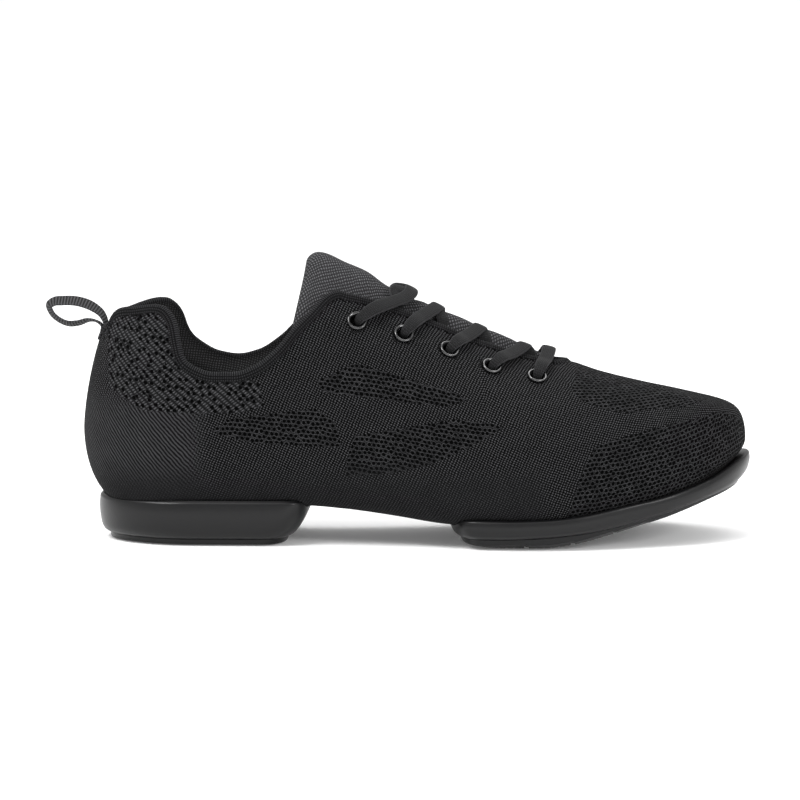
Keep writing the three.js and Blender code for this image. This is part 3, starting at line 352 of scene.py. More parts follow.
def merged(points, faces):
    """Number of each point once near ones are joined, and the faces in those numbers."""
    keys = np.round(points / NEAR).astype(np.int64)
    _, first, number = np.unique(keys, axis=0, return_index=True, return_inverse=True)
    return first, number.reshape(-1), number.reshape(-1)[faces]


def normals(points, faces):
    first, number, quads = merged(points, faces)
    p = points[first]
    turn = np.cross(p[quads[:, 2]] - p[quads[:, 0]], p[quads[:, 3]] - p[quads[:, 1]])
    total = np.zeros_like(p)
    for corner in range(4):
        np.add.at(total, quads[:, corner], turn)
    total /= np.maximum(np.linalg.norm(total, axis=1, keepdims=True), 1e-12)
    return total[number]


def last_grid(fine, ease):
    places = rib_places(fine)
    inner = places[1:-1]
    order = [(LATERAL, x) for x in places] + [(MEDIAL, x) for x in reversed(inner)]
    ribs = [rib_rows(side, x, ease) for side, x in order]
    grid = np.array([rows for rows, _, _ in ribs])
    flat = grid.reshape(-1, 3)
    out = normals(flat, wrap_quads(*grid.shape[:2])).reshape(grid.shape)
    return {"order": order, "points": grid, "out": out,
            "top_shut": np.array([r[1] for r in ribs]), "sole_shut": np.array([r[2] for r in ribs])}


FINE = 4
grid = last_grid(FINE, RIM_ROUND)
print("ribs", len(grid["order"]), "rows", grid["points"].shape[1])

# %% [markdown]
# ## Turning points into pieces
# One function makes every mesh here: it moves points from the last's millimetres to the frame,
# joins near points, leaves out empty faces, turns the faces outward and keeps named values on the
# points for the finishes. Another takes a cutter out of a piece, as a punch or a mill would.

# %% Mesh maker
def piece(name, points, faces, material, values=None, sharp=None, parts=None):
    first, _, quads = merged(points, np.asarray(faces))
    clean, kinds = [], []
    for number, quad in enumerate(quads.tolist()):
        ring = [quad[k] for k in range(4) if quad[k] != quad[k - 1]]
        if len(set(ring)) == len(ring) and len(ring) > 2:
            clean.append(ring)
            kinds.append(0 if parts is None else int(parts[number]))
    p = points[first]
    volume = sum(np.dot(p[c[0]], np.cross(p[c[k]], p[c[k + 1]]))
                 for c in clean for k in range(1, len(c) - 1))
    if volume < 0:
        clean = [c[::-1] for c in clean]
    used = np.unique(np.concatenate([np.array(c) for c in clean]))
    order = {old: new for new, old in enumerate(used.tolist())}
    mesh = bpy.data.meshes.new(name)
    mesh.from_pydata(((p[used] - ORIGIN) * MM).tolist(), [], [[order[v] for v in c] for c in clean])
    for key, value in (values or {}).items():
        flat = value[first[used]].astype(np.float32).ravel()
        layer = mesh.attributes.new(key, "FLOAT_VECTOR" if value.ndim == 2 else "FLOAT", "POINT")
        layer.data.foreach_set("vector" if value.ndim == 2 else "value", flat)
    for one in (material if isinstance(material, list) else [material]):
        mesh.materials.append(one)
    mesh.polygons.foreach_set("material_index", kinds)
    mesh.update()
    mesh.shade_smooth()
    if sharp:
        mesh.set_sharp_from_angle(angle=math.radians(sharp))
    made = bpy.data.objects.new(name, mesh)
    bpy.context.scene.collection.objects.link(made)
    return made


def dress(made, slot, *nodes):
    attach(made, "root")
    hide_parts(*nodes)
    print(made.name, len(made.data.polygons), "faces")
    return made


def cut(target, cutter, sharp=None):
    """Takes a closed cutter out of a piece and deletes the cutter."""
    change = target.modifiers.new("cut", "BOOLEAN")
    change.object, change.operation, change.solver = cutter, "DIFFERENCE", "MANIFOLD"
    bpy.context.view_layer.update()
    ready = target.evaluated_get(bpy.context.evaluated_depsgraph_get())
    mesh = bpy.data.meshes.new_from_object(ready)
    target.modifiers.clear()
    old, target.data = target.data, mesh
    bpy.data.meshes.remove(old)
    bpy.data.meshes.remove(cutter.data)
    if sharp:
        target.data.set_sharp_from_angle(angle=math.radians(sharp))


def turned(place, normal, profile, count):
    """Points of a closed profile of (radius, height) pairs turned about an axis, and its faces."""
    side = np.cross(normal, (0, 1, 0)) if abs(normal[1]) < 0.9 else np.cross(normal, (1, 0, 0))
    side = side / np.linalg.norm(side)
    angle = 2 * np.pi * np.arange(count) / count
    ring = np.cos(angle)[:, None] * side + np.sin(angle)[:, None] * np.cross(normal, side)
    profile = np.vstack([profile, profile[:1]])
    rings = place + profile[:, 0][None, :, None] * ring[:, None] + profile[:, 1][None, :, None] * normal
    return rings.reshape(-1, 3), wrap_quads(count, len(profile))


def flat_place(across, along):
    """Places laid out flat in millimetres, for the stitches to follow."""
    return np.stack(np.broadcast_arrays(across, along, 0.0), -1)


def joined(parts):
    """Several lists of points and faces as one."""
    starts = np.cumsum([0] + [len(p) for p, _ in parts[:-1]])
    faces = [f + start for (_, f), start in zip(parts, starts)]
    return np.concatenate([p for p, _ in parts]), np.concatenate(faces)


# %% [markdown]
# ## Materials
# Every surface of this shoe is near black, so what tells them apart is their relief and how they
# take the light: knit is matt with deep dark stitches, the rubber has a satin skin from its mould,
# the eyelets are brass with black enamel. Each finish is made from nodes, in real millimetres.

# %% Colours and nodes
SOFTLY = {"interpolation_type": "SMOOTHSTEP"}
TIMES, TIMES_PLUS = {"operation": "MULTIPLY"}, {"operation": "MULTIPLY_ADD"}


def colour(code):
    """An sRGB hex value as linear light, the way the shaders take it."""
    parts = [int(code[k:k + 2], 16) / 255 for k in (1, 3, 5)]
    return (*(c / 12.92 if c <= 0.04045 else ((c + 0.055) / 1.055) ** 2.4 for c in parts), 1.0)


def new_finish(name, **shader):
    """A material with its shader's own values, and the function that adds nodes to it."""
    material = bpy.data.materials.new(name)
    material.use_nodes = True
    tree = material.node_tree
    surface = tree.nodes["Principled BSDF"]
    for key, value in shader.items():
        surface.inputs[key.replace("_", " ")].default_value = value

    def add(kind, inputs=None, out=0, **settings):
        """Adds a node with its settings, fills or links its inputs and gives back one output."""
        made = tree.nodes.new("ShaderNode" + kind)
        for key, value in settings.items():
            setattr(made, key, value)
        for key, value in (inputs or {}).items():
            if isinstance(value, bpy.types.NodeSocket):
                tree.links.new(value, made.inputs[key])
            else:
                made.inputs[key].default_value = value
        return made.outputs[out]

    return material, surface, add


def lay_on(surface, add, shade, dark, light, height, relief, strength):
    """Gives the shader its colour, from dark to light, and its relief in millimetres."""
    tint = add("Mix", {0: shade, 6: dark, 7: light}, 2, data_type="RGBA")
    bump = add("Bump", {"Height": height, "Strength": strength, "Distance": relief * MM})
    surface.id_data.links.new(tint, surface.inputs["Base Color"])
    surface.id_data.links.new(bump, surface.inputs["Normal"])


def yarn_rows(add, place, pitch, axis="X", turn=0.0):
    """Soft rows of a given pitch across the surface, in millimetres, turned by some degrees."""
    if turn:
        place = add("Mapping", {"Vector": place, "Rotation": (0, 0, math.radians(turn))})
    return add("TexWave", {"Vector": place, "Scale": WAVE_LENGTH / pitch}, "Fac", bands_direction=axis)


def stitch_lattice(add, place, width, height, loose):
    """A staggered lattice: distance from the nearest stitch in millimetres, and that stitch's own number."""
    root = math.sqrt(2)
    slant = {"Scale": (root / width, root / (2 * height), 1.0), "Rotation": (0, 0, math.radians(45))}
    inner = add("Mapping", {"Vector": place, **slant})
    nearest = add("TexVoronoi", {"Vector": inner, "Scale": 1.0, "Randomness": loose}, "Position",
                  voronoi_dimensions="2D")
    own = add("TexWhiteNoise", {"Vector": nearest}, noise_dimensions="2D")
    away = add("VectorMath", {0: inner, 1: nearest}, operation="SUBTRACT")
    real = add("Mapping", {"Vector": away, **slant}, vector_type="TEXTURE")
    return add("VectorMath", {0: real}, "Value", operation="LENGTH"), own


# %% [markdown]
# ### Engineered knit
# The upper is polyester yarn knitted in one piece. Plain ground stitches are about 1.1 mm wide and
# 0.95 mm high, a little coarser than the real gauge so that they show. Open zones have ring stitches
# with holes 1.95 mm apart, the heel has ribs every 1.35 mm, and under the collar lies a zone of
# short slanting floats with scattered holes. The edge is a ribbed band, rolled over. The stitches
# are drawn on the surface's own millimetres, so they bend round the foot. Yarn is matt, and a hole
# takes no light at all, so the specular level falls with the height of the stitch. The colour follows
# the height too: painted shade in the holes and between the stitches, painted light on their crests.

# %% Knit
STITCH_WIDTH, STITCH_HEIGHT = 1.1, 0.95
RING_WIDTH, RING_HEIGHT = 1.95, 1.8
RIB_PITCH, FLOAT_PITCH, FLOAT_LENGTH, HOLE_WIDTH, HOLE_HEIGHT = 1.35, 1.0, 2.1, 3.2, 2.4
EDGE_PITCH, EDGE_STEP = 0.9, 1.1
WAVE_LENGTH = math.pi / 10


def zoned(add, place, loose, ground):
    """The height of the stitches all over the upper, from the ground stitch and each zone's own."""
    away, own = stitch_lattice(add, loose, RING_WIDTH, RING_HEIGHT, 0.22)
    inner = add("MapRange", {0: away, 1: 0.6, 2: 0.84}, **SOFTLY)
    beyond = add("MapRange", {0: away, 1: 0.98, 2: 1.12, 4: 0.6}, **SOFTLY)
    ring = add("Math", {0: inner, 1: beyond}, operation="SUBTRACT")
    rings = add("Math", {0: ring, 1: add("MapRange", {0: own, 3: 0.34, 4: 0.5}, **SOFTLY)}, **TIMES)

    far, kept = stitch_lattice(add, loose, HOLE_WIDTH, HOLE_HEIGHT, 0.5)
    round_hole = add("MapRange", {0: far, 1: 0.55, 2: 0.95}, **SOFTLY)
    left_shut = add("MapRange", {0: kept, 1: 0.72, 2: 0.76}, **SOFTLY)
    holes = add("Math", {0: round_hole, 1: left_shut}, operation="MAXIMUM")
    floats = add("Math", {0: yarn_rows(add, loose, FLOAT_PITCH, "X", 52),
                          1: yarn_rows(add, loose, FLOAT_LENGTH, "Y", 40)}, **TIMES)
    mesh = add("Math", {0: add("Math", {0: floats, 1: 0.75, 2: 0.15}, **TIMES_PLUS), 1: holes}, **TIMES)

    ribs = add("MapRange", {0: yarn_rows(add, loose, RIB_PITCH, "X", -44), 3: 0.1, 4: 0.5}, **SOFTLY)
    fine = add("Math", {0: ground, 1: 0.2, 2: 0.16}, **TIMES_PLUS)
    band_place = add("Attribute", None, "Vector", attribute_name="edge_place")
    wales = yarn_rows(add, band_place, EDGE_PITCH)
    checks = add("Math", {0: wales, 1: yarn_rows(add, band_place, EDGE_STEP, "Y")}, **TIMES)
    across = add("Math", {0: checks, 1: 0.3, 2: 0.12}, **TIMES_PLUS)

    ragged = add("TexNoise", {"Vector": place, "Scale": 0.8})
    height = ground
    for key, pattern, torn in (("ribbed", ribs, False), ("mesh", mesh, True), ("open", rings, True),
                               ("plain", fine, False), ("band", across, False)):
        share = add("Attribute", None, "Fac", attribute_name=key)
        if torn:
            border = add("Math", {0: ragged, 1: 0.5, 2: share}, **TIMES_PLUS)
            share = add("MapRange", {0: border, 1: 0.64, 2: 0.86}, **SOFTLY)
        height = add("Mix", {0: share, 2: height, 3: pattern}, data_type="FLOAT")
    edge = add("Attribute", None, "Fac", attribute_name="edge_line")
    line = add("Math", {0: edge, 1: wales}, **TIMES)
    return add("Math", {0: line, 1: 0.3, 2: height}, **TIMES_PLUS)


def knit(name, light, dark, relief=0.45, turn=22, zones=True):
    material, surface, add = new_finish(name, Roughness=0.95, IOR=1.5, Sheen_Weight=0.02, Sheen_Roughness=0.5)
    place = add("Attribute", None, "Vector", attribute_name="knit_place")
    wobble = add("TexNoise", {"Vector": place, "Scale": 0.3, "Detail": 2.0}, "Color")
    shift = add("VectorMath", {0: wobble, 1: (1.0, 1.0, 0.0)}, **TIMES)
    loose = add("VectorMath", {0: place, 1: shift}, operation="ADD")
    ground = add("Math", {0: yarn_rows(add, loose, STITCH_WIDTH, "X", turn),
                          1: yarn_rows(add, loose, STITCH_HEIGHT, "Y", turn)}, **TIMES)
    height = zoned(add, place, loose, ground) if zones else ground
    fibre = add("TexNoise", {"Vector": place, "Scale": 2.2, "Detail": 3.0, "Roughness": 0.6})
    fuzzy = add("Math", {0: fibre, 1: 0.3, 2: height}, **TIMES_PLUS)
    patch = add("TexNoise", {"Vector": place, "Scale": 0.12, "Detail": 2.0})
    uneven = add("MapRange", {0: patch, 1: 0.3, 2: 0.7, 3: 0.88}, **SOFTLY)
    # The colour follows the stitch height: painted shade in the holes and between the stitches, painted light
    # on their crests.
    shade = add("Math", {0: add("MapRange", {0: fuzzy, 1: 0.1, 2: 1.15}, **SOFTLY), 1: uneven}, **TIMES)
    lay_on(surface, add, shade, colour(dark), colour(light), fuzzy, relief, 1.0)
    gleam = add("MapRange", {0: height, 1: 0.1, 2: 0.6, 4: 0.2}, **SOFTLY)
    surface.id_data.links.new(gleam, surface.inputs["Specular IOR Level"])
    return material


# Each dark colour is the painted shade of holes and gaps between stitches, each light colour the painted
# light on the crests.
KNIT = knit("Engineered knit", "#444446", "#020202")
TONGUE_KNIT = knit("Padded knit", "#5c5c5e", "#262627", relief=0.3, turn=-35, zones=False)
LINING = knit("Lining tricot", "#3c3c3d", "#1c1c1c", relief=0.15, turn=10, zones=False)
print("knit materials:", KNIT.name, TONGUE_KNIT.name, LINING.name)

# %% [markdown]
# ### Rubber, enamel, braid and webbing
# The soles are moulded rubber: a satin skin with a faint orange peel from the mould, a little
# uneven in its gloss. The eyelets are pressed brass with black enamel, baked glossy. The lace is a
# flat soft braid with a firmer edge, and the loop a webbing with a rib at every pick, both matt.
# The floor is pale acrylic, faintly lit from below, which keeps the shadow under the arch soft.

# %% Rubber, enamel, braid, webbing
def rubber(name, code, roughness):
    material, surface, add = new_finish(name, IOR=1.52, Specular_IOR_Level=0.15, Coat_Weight=0.25,
                                        Coat_Roughness=0.2)
    place = add("TexCoord", None, "Object")
    grain = add("TexNoise", {"Vector": place, "Scale": 1500.0, "Detail": 2.0})
    cloud = add("TexNoise", {"Vector": place, "Scale": 45.0, "Detail": 3.0})
    gloss = add("MapRange", {0: cloud, 1: 0.3, 2: 0.7, 3: roughness - 0.05, 4: roughness + 0.06}, **SOFTLY)
    surface.id_data.links.new(gloss, surface.inputs["Roughness"])
    light = colour(code)
    dark = (*(0.8 * c for c in light[:3]), 1.0)
    lay_on(surface, add, cloud, dark, light, grain, 0.05, 0.6)
    return material


def braid(name, light, dark, across_pitch, along_pitch, relief, ribbing, even):
    """ribbing: how strongly the picks stand out; even: how little the yarns across show."""
    material, surface, add = new_finish(name, Roughness=0.95, IOR=1.5, Specular_IOR_Level=0.15,
                                        Sheen_Weight=0.03, Sheen_Roughness=0.5)
    place = add("Attribute", None, "Vector", attribute_name="knit_place")
    yarns = add("Math", {0: yarn_rows(add, place, across_pitch), 1: 1 - even, 2: even}, **TIMES_PLUS)
    picks = yarn_rows(add, place, along_pitch, "Y")
    weave = add("Math", {0: add("Math", {0: yarns, 1: picks}, **TIMES), 1: ribbing}, **TIMES)
    fibre = add("TexNoise", {"Vector": place, "Scale": 2.4, "Detail": 3.0})
    fuzzy = add("Math", {0: fibre, 1: 1.2 - 0.6 * ribbing, 2: weave}, **TIMES_PLUS)
    firm_edge = add("Attribute", None, "Fac", attribute_name="selvedge")
    # Painted light and shade: the braid is coloured lighter on its raised yarns and picks and darker between
    # them.
    lit = add("MapRange", {0: fuzzy, 1: 0.3, 2: 1.6}, **SOFTLY)
    shade = add("Math", {0: firm_edge, 1: 0.3, 2: lit}, **TIMES_PLUS)
    lay_on(surface, add, shade, colour(dark), colour(light), fuzzy, relief, 0.8)
    return material


RUBBER = rubber("Moulded rubber", "#0c0c0d", 0.42)
# Each braid's dark colour is the painted shade between its yarns and picks.
LACE_BRAID = braid("Lace braid", "#464648", "#060606", 0.7, 0.8, 0.1, 0.35, 0.0)
WEBBING = braid("Ribbed webbing", "#444446", "#070707", 1.0, 1.2, 0.35, 1.2, 0.8)
ENAMEL = new_finish("Enamelled brass", Base_Color=colour("#060607"), Roughness=0.12, IOR=1.5,
                    Coat_Weight=1.0, Coat_Roughness=0.04)[0]
FLOOR = new_finish("Lit acrylic floor", Base_Color=colour("#f6f6f6"), Roughness=0.9, Specular_IOR_Level=0.2,
                   Emission_Color=colour("#ffffff"), Emission_Strength=0.1)[0]
print("materials:", len(bpy.data.materials))

# %% [markdown]
# ## The knitted upper
# The upper is one sheet of knit with a padded collar. Its outside follows the last, its edge rolls
# over in a soft bead round the collar and the throat, and its inside is the same surface moved in
# by the wall, with foam behind the collar. A shallow groove lies where the bead is sewn down.

# %% Edge bead and lining depth
BEAD_HEIGHT, BEAD_WIDTH = 0.6, 3.2
COLLAR_PADDING, COLLAR_PAD_DEPTH, PAD_TAPER = 3.2, 48, 0.12
bead_profile = through([0, 0.8, 1.7, 2.6, 3.1, 3.5, 3.8, 4.3, 5.0, 6.0],
                       [0.6, 0.8, 0.86, 0.72, 0.4, -0.15, -0.25, -0.1, 0.0, 0.0])
points, out = grid["points"], grid["out"]
rim_line = points[~grid["top_shut"], RIM]


def nearest_on(line, p):
    """Distance from points to a closed line, and the length along it at the nearest place."""
    flat = p.reshape(-1, 3)
    best, where, start = np.full(len(flat), np.inf), np.zeros(len(flat)), 0.0
    for a, b in zip(line, np.roll(line, -1, 0)):
        edge = b - a
        length = max(np.linalg.norm(edge), 1e-9)
        t = clamp((flat - a) @ edge / length ** 2)
        far = np.linalg.norm(flat - a - t[:, None] * edge, axis=1)
        where = np.where(far < best, start + t * length, where)
        best = np.minimum(best, far)
        start += length
    return best.reshape(p.shape[:-1]), where.reshape(p.shape[:-1])


away = np.full(points.shape[:2], 200.0)
rim_run = np.zeros(points.shape[:2])
away[:, RIM:WIDEST + 1], rim_run[:, RIM:WIDEST + 1] = nearest_on(rim_line, points[:, RIM:WIDEST + 1])
bead = bead_profile(away)
behind = smooth((CORNER_START * UPPER_LENGTH - points[..., 0]) / (PAD_TAPER * UPPER_LENGTH))
swell = smooth(away / COLLAR_PAD_DEPTH * 6) * smooth((1 - away / COLLAR_PAD_DEPTH) * 1.6)
lining_depth = WALL + COLLAR_PADDING * swell * behind
print("rim", round(float(rim_run.max())), "mm round, padding up to",
      round(float((lining_depth - WALL).max()), 1), "mm")

# %% Places on the knit, for its stitches
order = grid["order"]
ends = len(rib_places(FINE)) - 1
middle_rib = int(np.argmin([abs(x - 0.5 * UPPER_LENGTH) for _, x in order[:ends + 1]]))
edge_line = points[:, WIDEST, :2]
root_line = np.array([[spine(x), float(ridge(spine(x)))] for _, x in order])
u_edge, u_root = (run_of(line[:ends + 1]) for line in (edge_line, root_line))
u_root += u_edge[middle_rib] - u_root[middle_rib]
u_edge, u_root = (np.concatenate([u, u[-2:0:-1]]) for u in (u_edge, u_root))
reach = np.linalg.norm(edge_line - root_line, axis=1)
spread = clamp(np.linalg.norm(points[..., :2] - root_line[:, None], axis=2) / reach[:, None])
climb = np.cumsum(np.linalg.norm(np.diff(points, axis=1), axis=2), axis=1)
climb = np.concatenate([np.zeros((len(order), 1)), climb], axis=1)
full = climb[:, WIDEST]
other = np.concatenate([[0], np.arange(len(order) - 1, 0, -1)])
height_up = full[:, None] - climb
even_out = 0.5 * (full[other] - full)[:, None]
height_up = height_up + even_out * smooth((height_up / full[:, None] - 0.35) / 0.65)
toward = (edge_line - root_line) / reach[:, None]
evened = 0.5 * (full[other] + full)[:, None]
rib_x = np.array([x for _, x in order])[:, None]
by_edge = np.where(rib_x > 0.6 * UPPER_LENGTH, smooth((spread - 0.3) / 0.65), 1.0)
knit_u = mix(u_root[:, None] + climb * toward[:, :1], mix(u_root[:, None], u_edge[:, None], spread), by_edge)
knit_v = mix(evened - climb * np.abs(toward[:, 1:]), height_up, by_edge)
place, edge_place = flat_place(knit_u, knit_v), flat_place(rim_run, away)
print("knit", round(float(np.ptp(place[..., 0]))), "mm long from heel to toe")


# %% [markdown]
# ### Zones of the knit
# The knitting machine changes stitch from place to place: open ring stitches over the vamp, the toe
# and the side, ribs round the heel, floats under the collar. Their outlines are given in
# millimetres as the side shows them, along from the sole's rear end and up from the floor.

# %% Zones
def inside(shape, x, y):
    """Signed distance to a closed outline, positive inside."""
    shape = np.array(shape, float)
    distance = np.full(x.shape, np.inf)
    winding = np.zeros(x.shape, bool)
    for a, b in zip(shape, np.roll(shape, -1, axis=0)):
        edge = b - a
        t = clamp(((x - a[0]) * edge[0] + (y - a[1]) * edge[1]) / (edge @ edge))
        distance = np.minimum(distance, np.hypot(x - a[0] - t * edge[0], y - a[1] - t * edge[1]))
        crossing = (a[1] > y) != (b[1] > y)
        at = a[0] + (y - a[1]) * edge[0] / (edge[1] if edge[1] else 1)
        winding ^= crossing & (x < at)
    return np.where(winding, distance, -distance)


FLOAT_ZONES = [[(4, 88), (6, 60), (20, 51), (40, 50), (58, 50), (68, 53), (66, 62), (52, 70), (40, 73),
                (36, 90), (20, 97)]]
RING_ZONES = [
    [(89, 62.6), (105, 70), (144, 58.2), (151, 55.7), (141, 52.5), (92, 58.2)],
    [(47, 42.7), (54, 47.6), (89, 52), (97, 46), (99, 36.6), (84, 37), (61, 38.6)],
    [(97.6, 18.7), (102.5, 35.8), (104, 41), (145, 47.6), (165, 45.1), (149, 35.8), (132, 28.5)],
    [(194, 68.4), (191.4, 59), (194.8, 55.3), (199, 53.1), (206, 51.2), (214.6, 49.9), (221, 51.4),
     (238, 52.4), (248, 56), (240, 64), (215, 74), (193, 80)],
    [(187.5, 4), (194.4, 25.6), (199.7, 36.2), (207.4, 39.4), (220.4, 43), (232.6, 46), (245.6, 48.8),
     (252, 51.2), (262, 47), (270, 40), (270, 4)]]
ZONE_SOFT = 1.6
SEEN_UP, SEEN_BACK = 0.9936, 0.1132     # cosine and sine of a view from 6.5 degrees over the floor
along_x = points[..., 0] - SOLE_SETBACK
seen_height = SEEN_UP * points[..., 2] - SEEN_BACK * np.abs(points[..., 1])


def zone(shapes):
    depths = [inside(shape, along_x, seen_height) for shape in shapes]
    return np.max([smooth(0.5 + depth / (2 * ZONE_SOFT)) for depth in depths], axis=0)


# Low, even stitch along the back seam, and also over the low side of the upper towards the sole, which is
# evener and a little darker there.
plain = np.maximum(smooth((3 - np.abs(points[..., 1])) / 2) * smooth((30 - points[..., 0]) / 8),
                   0.85 * smooth((34 - seen_height) / 16) * smooth((186 - along_x) / 12))
values = {
    "open": zone(RING_ZONES) * (1 - plain),
    "mesh": zone(FLOAT_ZONES) * (1 - plain),
    "ribbed": smooth((48 - along_x) / 12) * smooth((64 - seen_height) / 16),
    "plain": plain,
    "band": smooth((BEAD_WIDTH + 0.3 - away) / 0.4),
    "edge_line": smooth((0.45 - away) / 0.4),
    "knit_place": place,
    "edge_place": edge_place}
print("share of open knit:", round(float(values["open"].mean()), 2))

# %% [markdown]
# ### Soft forms and mesh
# Worn knit is never quite even: it draws in a little under the ankle, over the arch and behind the
# ball, where the foot bends. Each soft trough or ridge is given in millimetres on the side
# of the shoe. The sheet is then closed from its lining over the rolled edge to its outside.

# %% Upper mesh
# Each fold: along, height, half length, half width, turn in degrees, depth
FOLDS = [(64, 58, 16, 5, 18, 0.5), (112, 30, 22, 6, 28, 0.55), (128, 44, 20, 5, 24, -0.35),
         (158, 34, 14, 4.5, 60, 0.4), (171, 38, 15, 4.5, 66, -0.3), (180, 30, 12, 4.5, 62, 0.35),
         (30, 40, 14, 6, -40, 0.35), (215, 34, 18, 6, 12, 0.3)]
folded = np.zeros(along_x.shape)
for x, z, long, wide, turn, depth in FOLDS:
    c, s = math.cos(math.radians(turn)), math.sin(math.radians(turn))
    down, over = along_x - x, seen_height - z
    folded += depth * np.exp(-((down * c + over * s) / long) ** 2 - ((over * c - down * s) / wide) ** 2)
folded *= smooth((away - 4) / 8)

ROLL = 7
columns = points.shape[0]
shown = slice(RIM, EDGE + 1)
outside = (points + out * (bead - folded)[..., None])[:, shown]
lined = (points - out * (lining_depth + 0.6 * folded)[..., None])[:, shown]
rim, rim_out = points[:, RIM], out[:, RIM]
beyond = np.cross(np.roll(rim, -1, 0) - np.roll(rim, 1, 0), rim_out)
beyond /= np.maximum(np.linalg.norm(beyond, axis=1, keepdims=True), 1e-9)
beyond *= np.sign((beyond * (points[:, RIM] - points[:, RIM + 3])).sum(1, keepdims=True) + 1e-12)
thick = WALL + BEAD_HEIGHT
middle_of_edge = rim + rim_out * (BEAD_HEIGHT - thick / 2)
roll = np.stack([middle_of_edge + rim_out * math.cos(a) * thick / 2 + beyond * math.sin(a) * RIM_ROUND
                 for a in np.pi * np.arange(ROLL, 0, -1) / (ROLL + 1)], 1)
roll[grid["top_shut"]] = rim[grid["top_shut"], None]
strip_points = np.concatenate([lined[:, ::-1], roll, outside], axis=1)
rows, inner_rows = strip_points.shape[1], lined.shape[1]
faces = wrap_quads(columns, rows)
row_of, column_of = faces[:, 0] % rows, faces[:, 0] // rows
both_top = grid["top_shut"] & np.roll(grid["top_shut"], -1)
both_sole = grid["sole_shut"] & np.roll(grid["sole_shut"], -1)
in_roll = (row_of >= inner_rows - 1) & (row_of < inner_rows + ROLL)
faces = faces[~(in_roll & both_top[column_of])]
last_rows = np.arange(columns) * rows + rows - 1
next_rows = np.roll(last_rows, -1)
base_faces = np.stack([last_rows, last_rows - rows + 1, next_rows - rows + 1, next_rows], -1)[~both_sole]
all_faces = np.concatenate([faces, base_faces])


def over_strip(value):
    over_rim = np.repeat(value[:, RIM:RIM + 1], ROLL, 1)
    value = np.concatenate([value[:, shown][:, ::-1], over_rim, value[:, shown]], axis=1)
    return value.reshape(-1, *value.shape[2:])


upper = piece("knit_upper", strip_points.reshape(-1, 3), all_faces, [KNIT, LINING],
              {key: over_strip(value) for key, value in values.items()},
              parts=all_faces[:, 0] % rows < inner_rows - 1)
print("upper faces", len(upper.data.polygons))

# %% [markdown]
# ## Eyelets
# Five pairs of small pressed rings hold the lace. Each is a flange rolled over on the outside, with
# a barrel through the knit that is clinched inside. A turned profile makes one, and it is set on
# the surface of the instep. Its hole is then punched through the knit.

# %% Frames on the instep
EYELETS = table("at across", [
    (0.4125, 0.2525), (0.4815, 0.2475), (0.549, 0.238), (0.6125, 0.243), (0.6805, 0.2325)])
EYELET_HOLE, EYELET_METAL, EYELET_SEAT, EYELET_CROWN = 4.8, 0.45, 0.85, 0.8


def side_reach(x, side):
    return np.abs(centre(x) + side * half(x) * end_round(x) - ridge(x))


def crest(x, y):
    share = clamp(np.abs(y - ridge(x)) / side_reach(x, np.where(y < ridge(x), LATERAL, MEDIAL)))
    return mix(side_height(x), crown(x), np.sqrt(1 - share ** roundness(x)))


def crest_normal(x, y, step=0.5):
    slope_x = (crest(x + step, y) - crest(x - step, y)) / (2 * step)
    slope_y = (crest(x, y + step) - crest(x, y - step)) / (2 * step)
    normal = np.stack([-slope_x, -slope_y, np.ones_like(slope_x)], -1)
    return normal / np.linalg.norm(normal, axis=-1, keepdims=True)


def over_foot(x, across, lift):
    """Points over the top of the foot, or under it where the lift is negative."""
    x, across, lift = np.broadcast_arrays(np.asarray(x, float), across, lift)
    y = ridge(x) + across
    return np.stack([x, y, crest(x, y)], -1) + crest_normal(x, y) * lift[..., None]


def eyelet_place(k, side):
    x, across = EYELETS["at"][k] * UPPER_LENGTH, side * EYELETS["across"][k] * BALL_WIDTH
    return over_foot(x, across, 0.0), crest_normal(np.array(x), ridge(x) + across)


# %% Eyelet rings and their holes
hole, barrel = EYELET_HOLE / 2, EYELET_HOLE / 2 + EYELET_METAL
clinch = -(WALL + EYELET_SEAT)
ring_profile = np.array([
    (hole, clinch - EYELET_METAL), (hole, 0.1), (2.45, 0.5), (2.6, 0.85), (2.85, 1.12), (3.15, 1.34),
    (3.45, 1.46), (3.65, 1.44), (3.83, 1.28), (3.94, 1.0), (3.97, 0.6), (3.93, -0.12), (barrel, -0.12),
    (barrel, clinch), (barrel + 0.5, clinch), (barrel + 0.5, clinch - EYELET_METAL)])
punch_profile = np.array([(0.0, -9.0), (barrel + 0.4, -9.0), (barrel + 0.4, 6.0), (0.0, 6.0)])
punches = []
for k in range(5):
    for side, word in ((LATERAL, "lateral"), (MEDIAL, "medial")):
        where, normal = eyelet_place(k, side)
        pressed_ring = turned(where, normal, ring_profile, 48)
        made = piece(f"eyelet_ring_{word}_{k + 1}", *pressed_ring, ENAMEL, sharp=50)
        dress(made, "eyelet_metal", f"eyelet_{word}_{k + 1}")
        punches.append(turned(where, normal, punch_profile, 24))
cut(upper, piece("eyelet_punch", *joined(punches), KNIT))
dress(upper, "knit", "upper")

# %% [markdown]
# ## The two soles
# A split sole has a heel unit and a forefoot unit, and nothing under the arch, so that the foot can
# point. Each is moulded with a rounded side wall, a soft lip and a tread inside a recessed edge. The
# block is built from rings, then the last is taken out of it, so that the upper sits down in it.

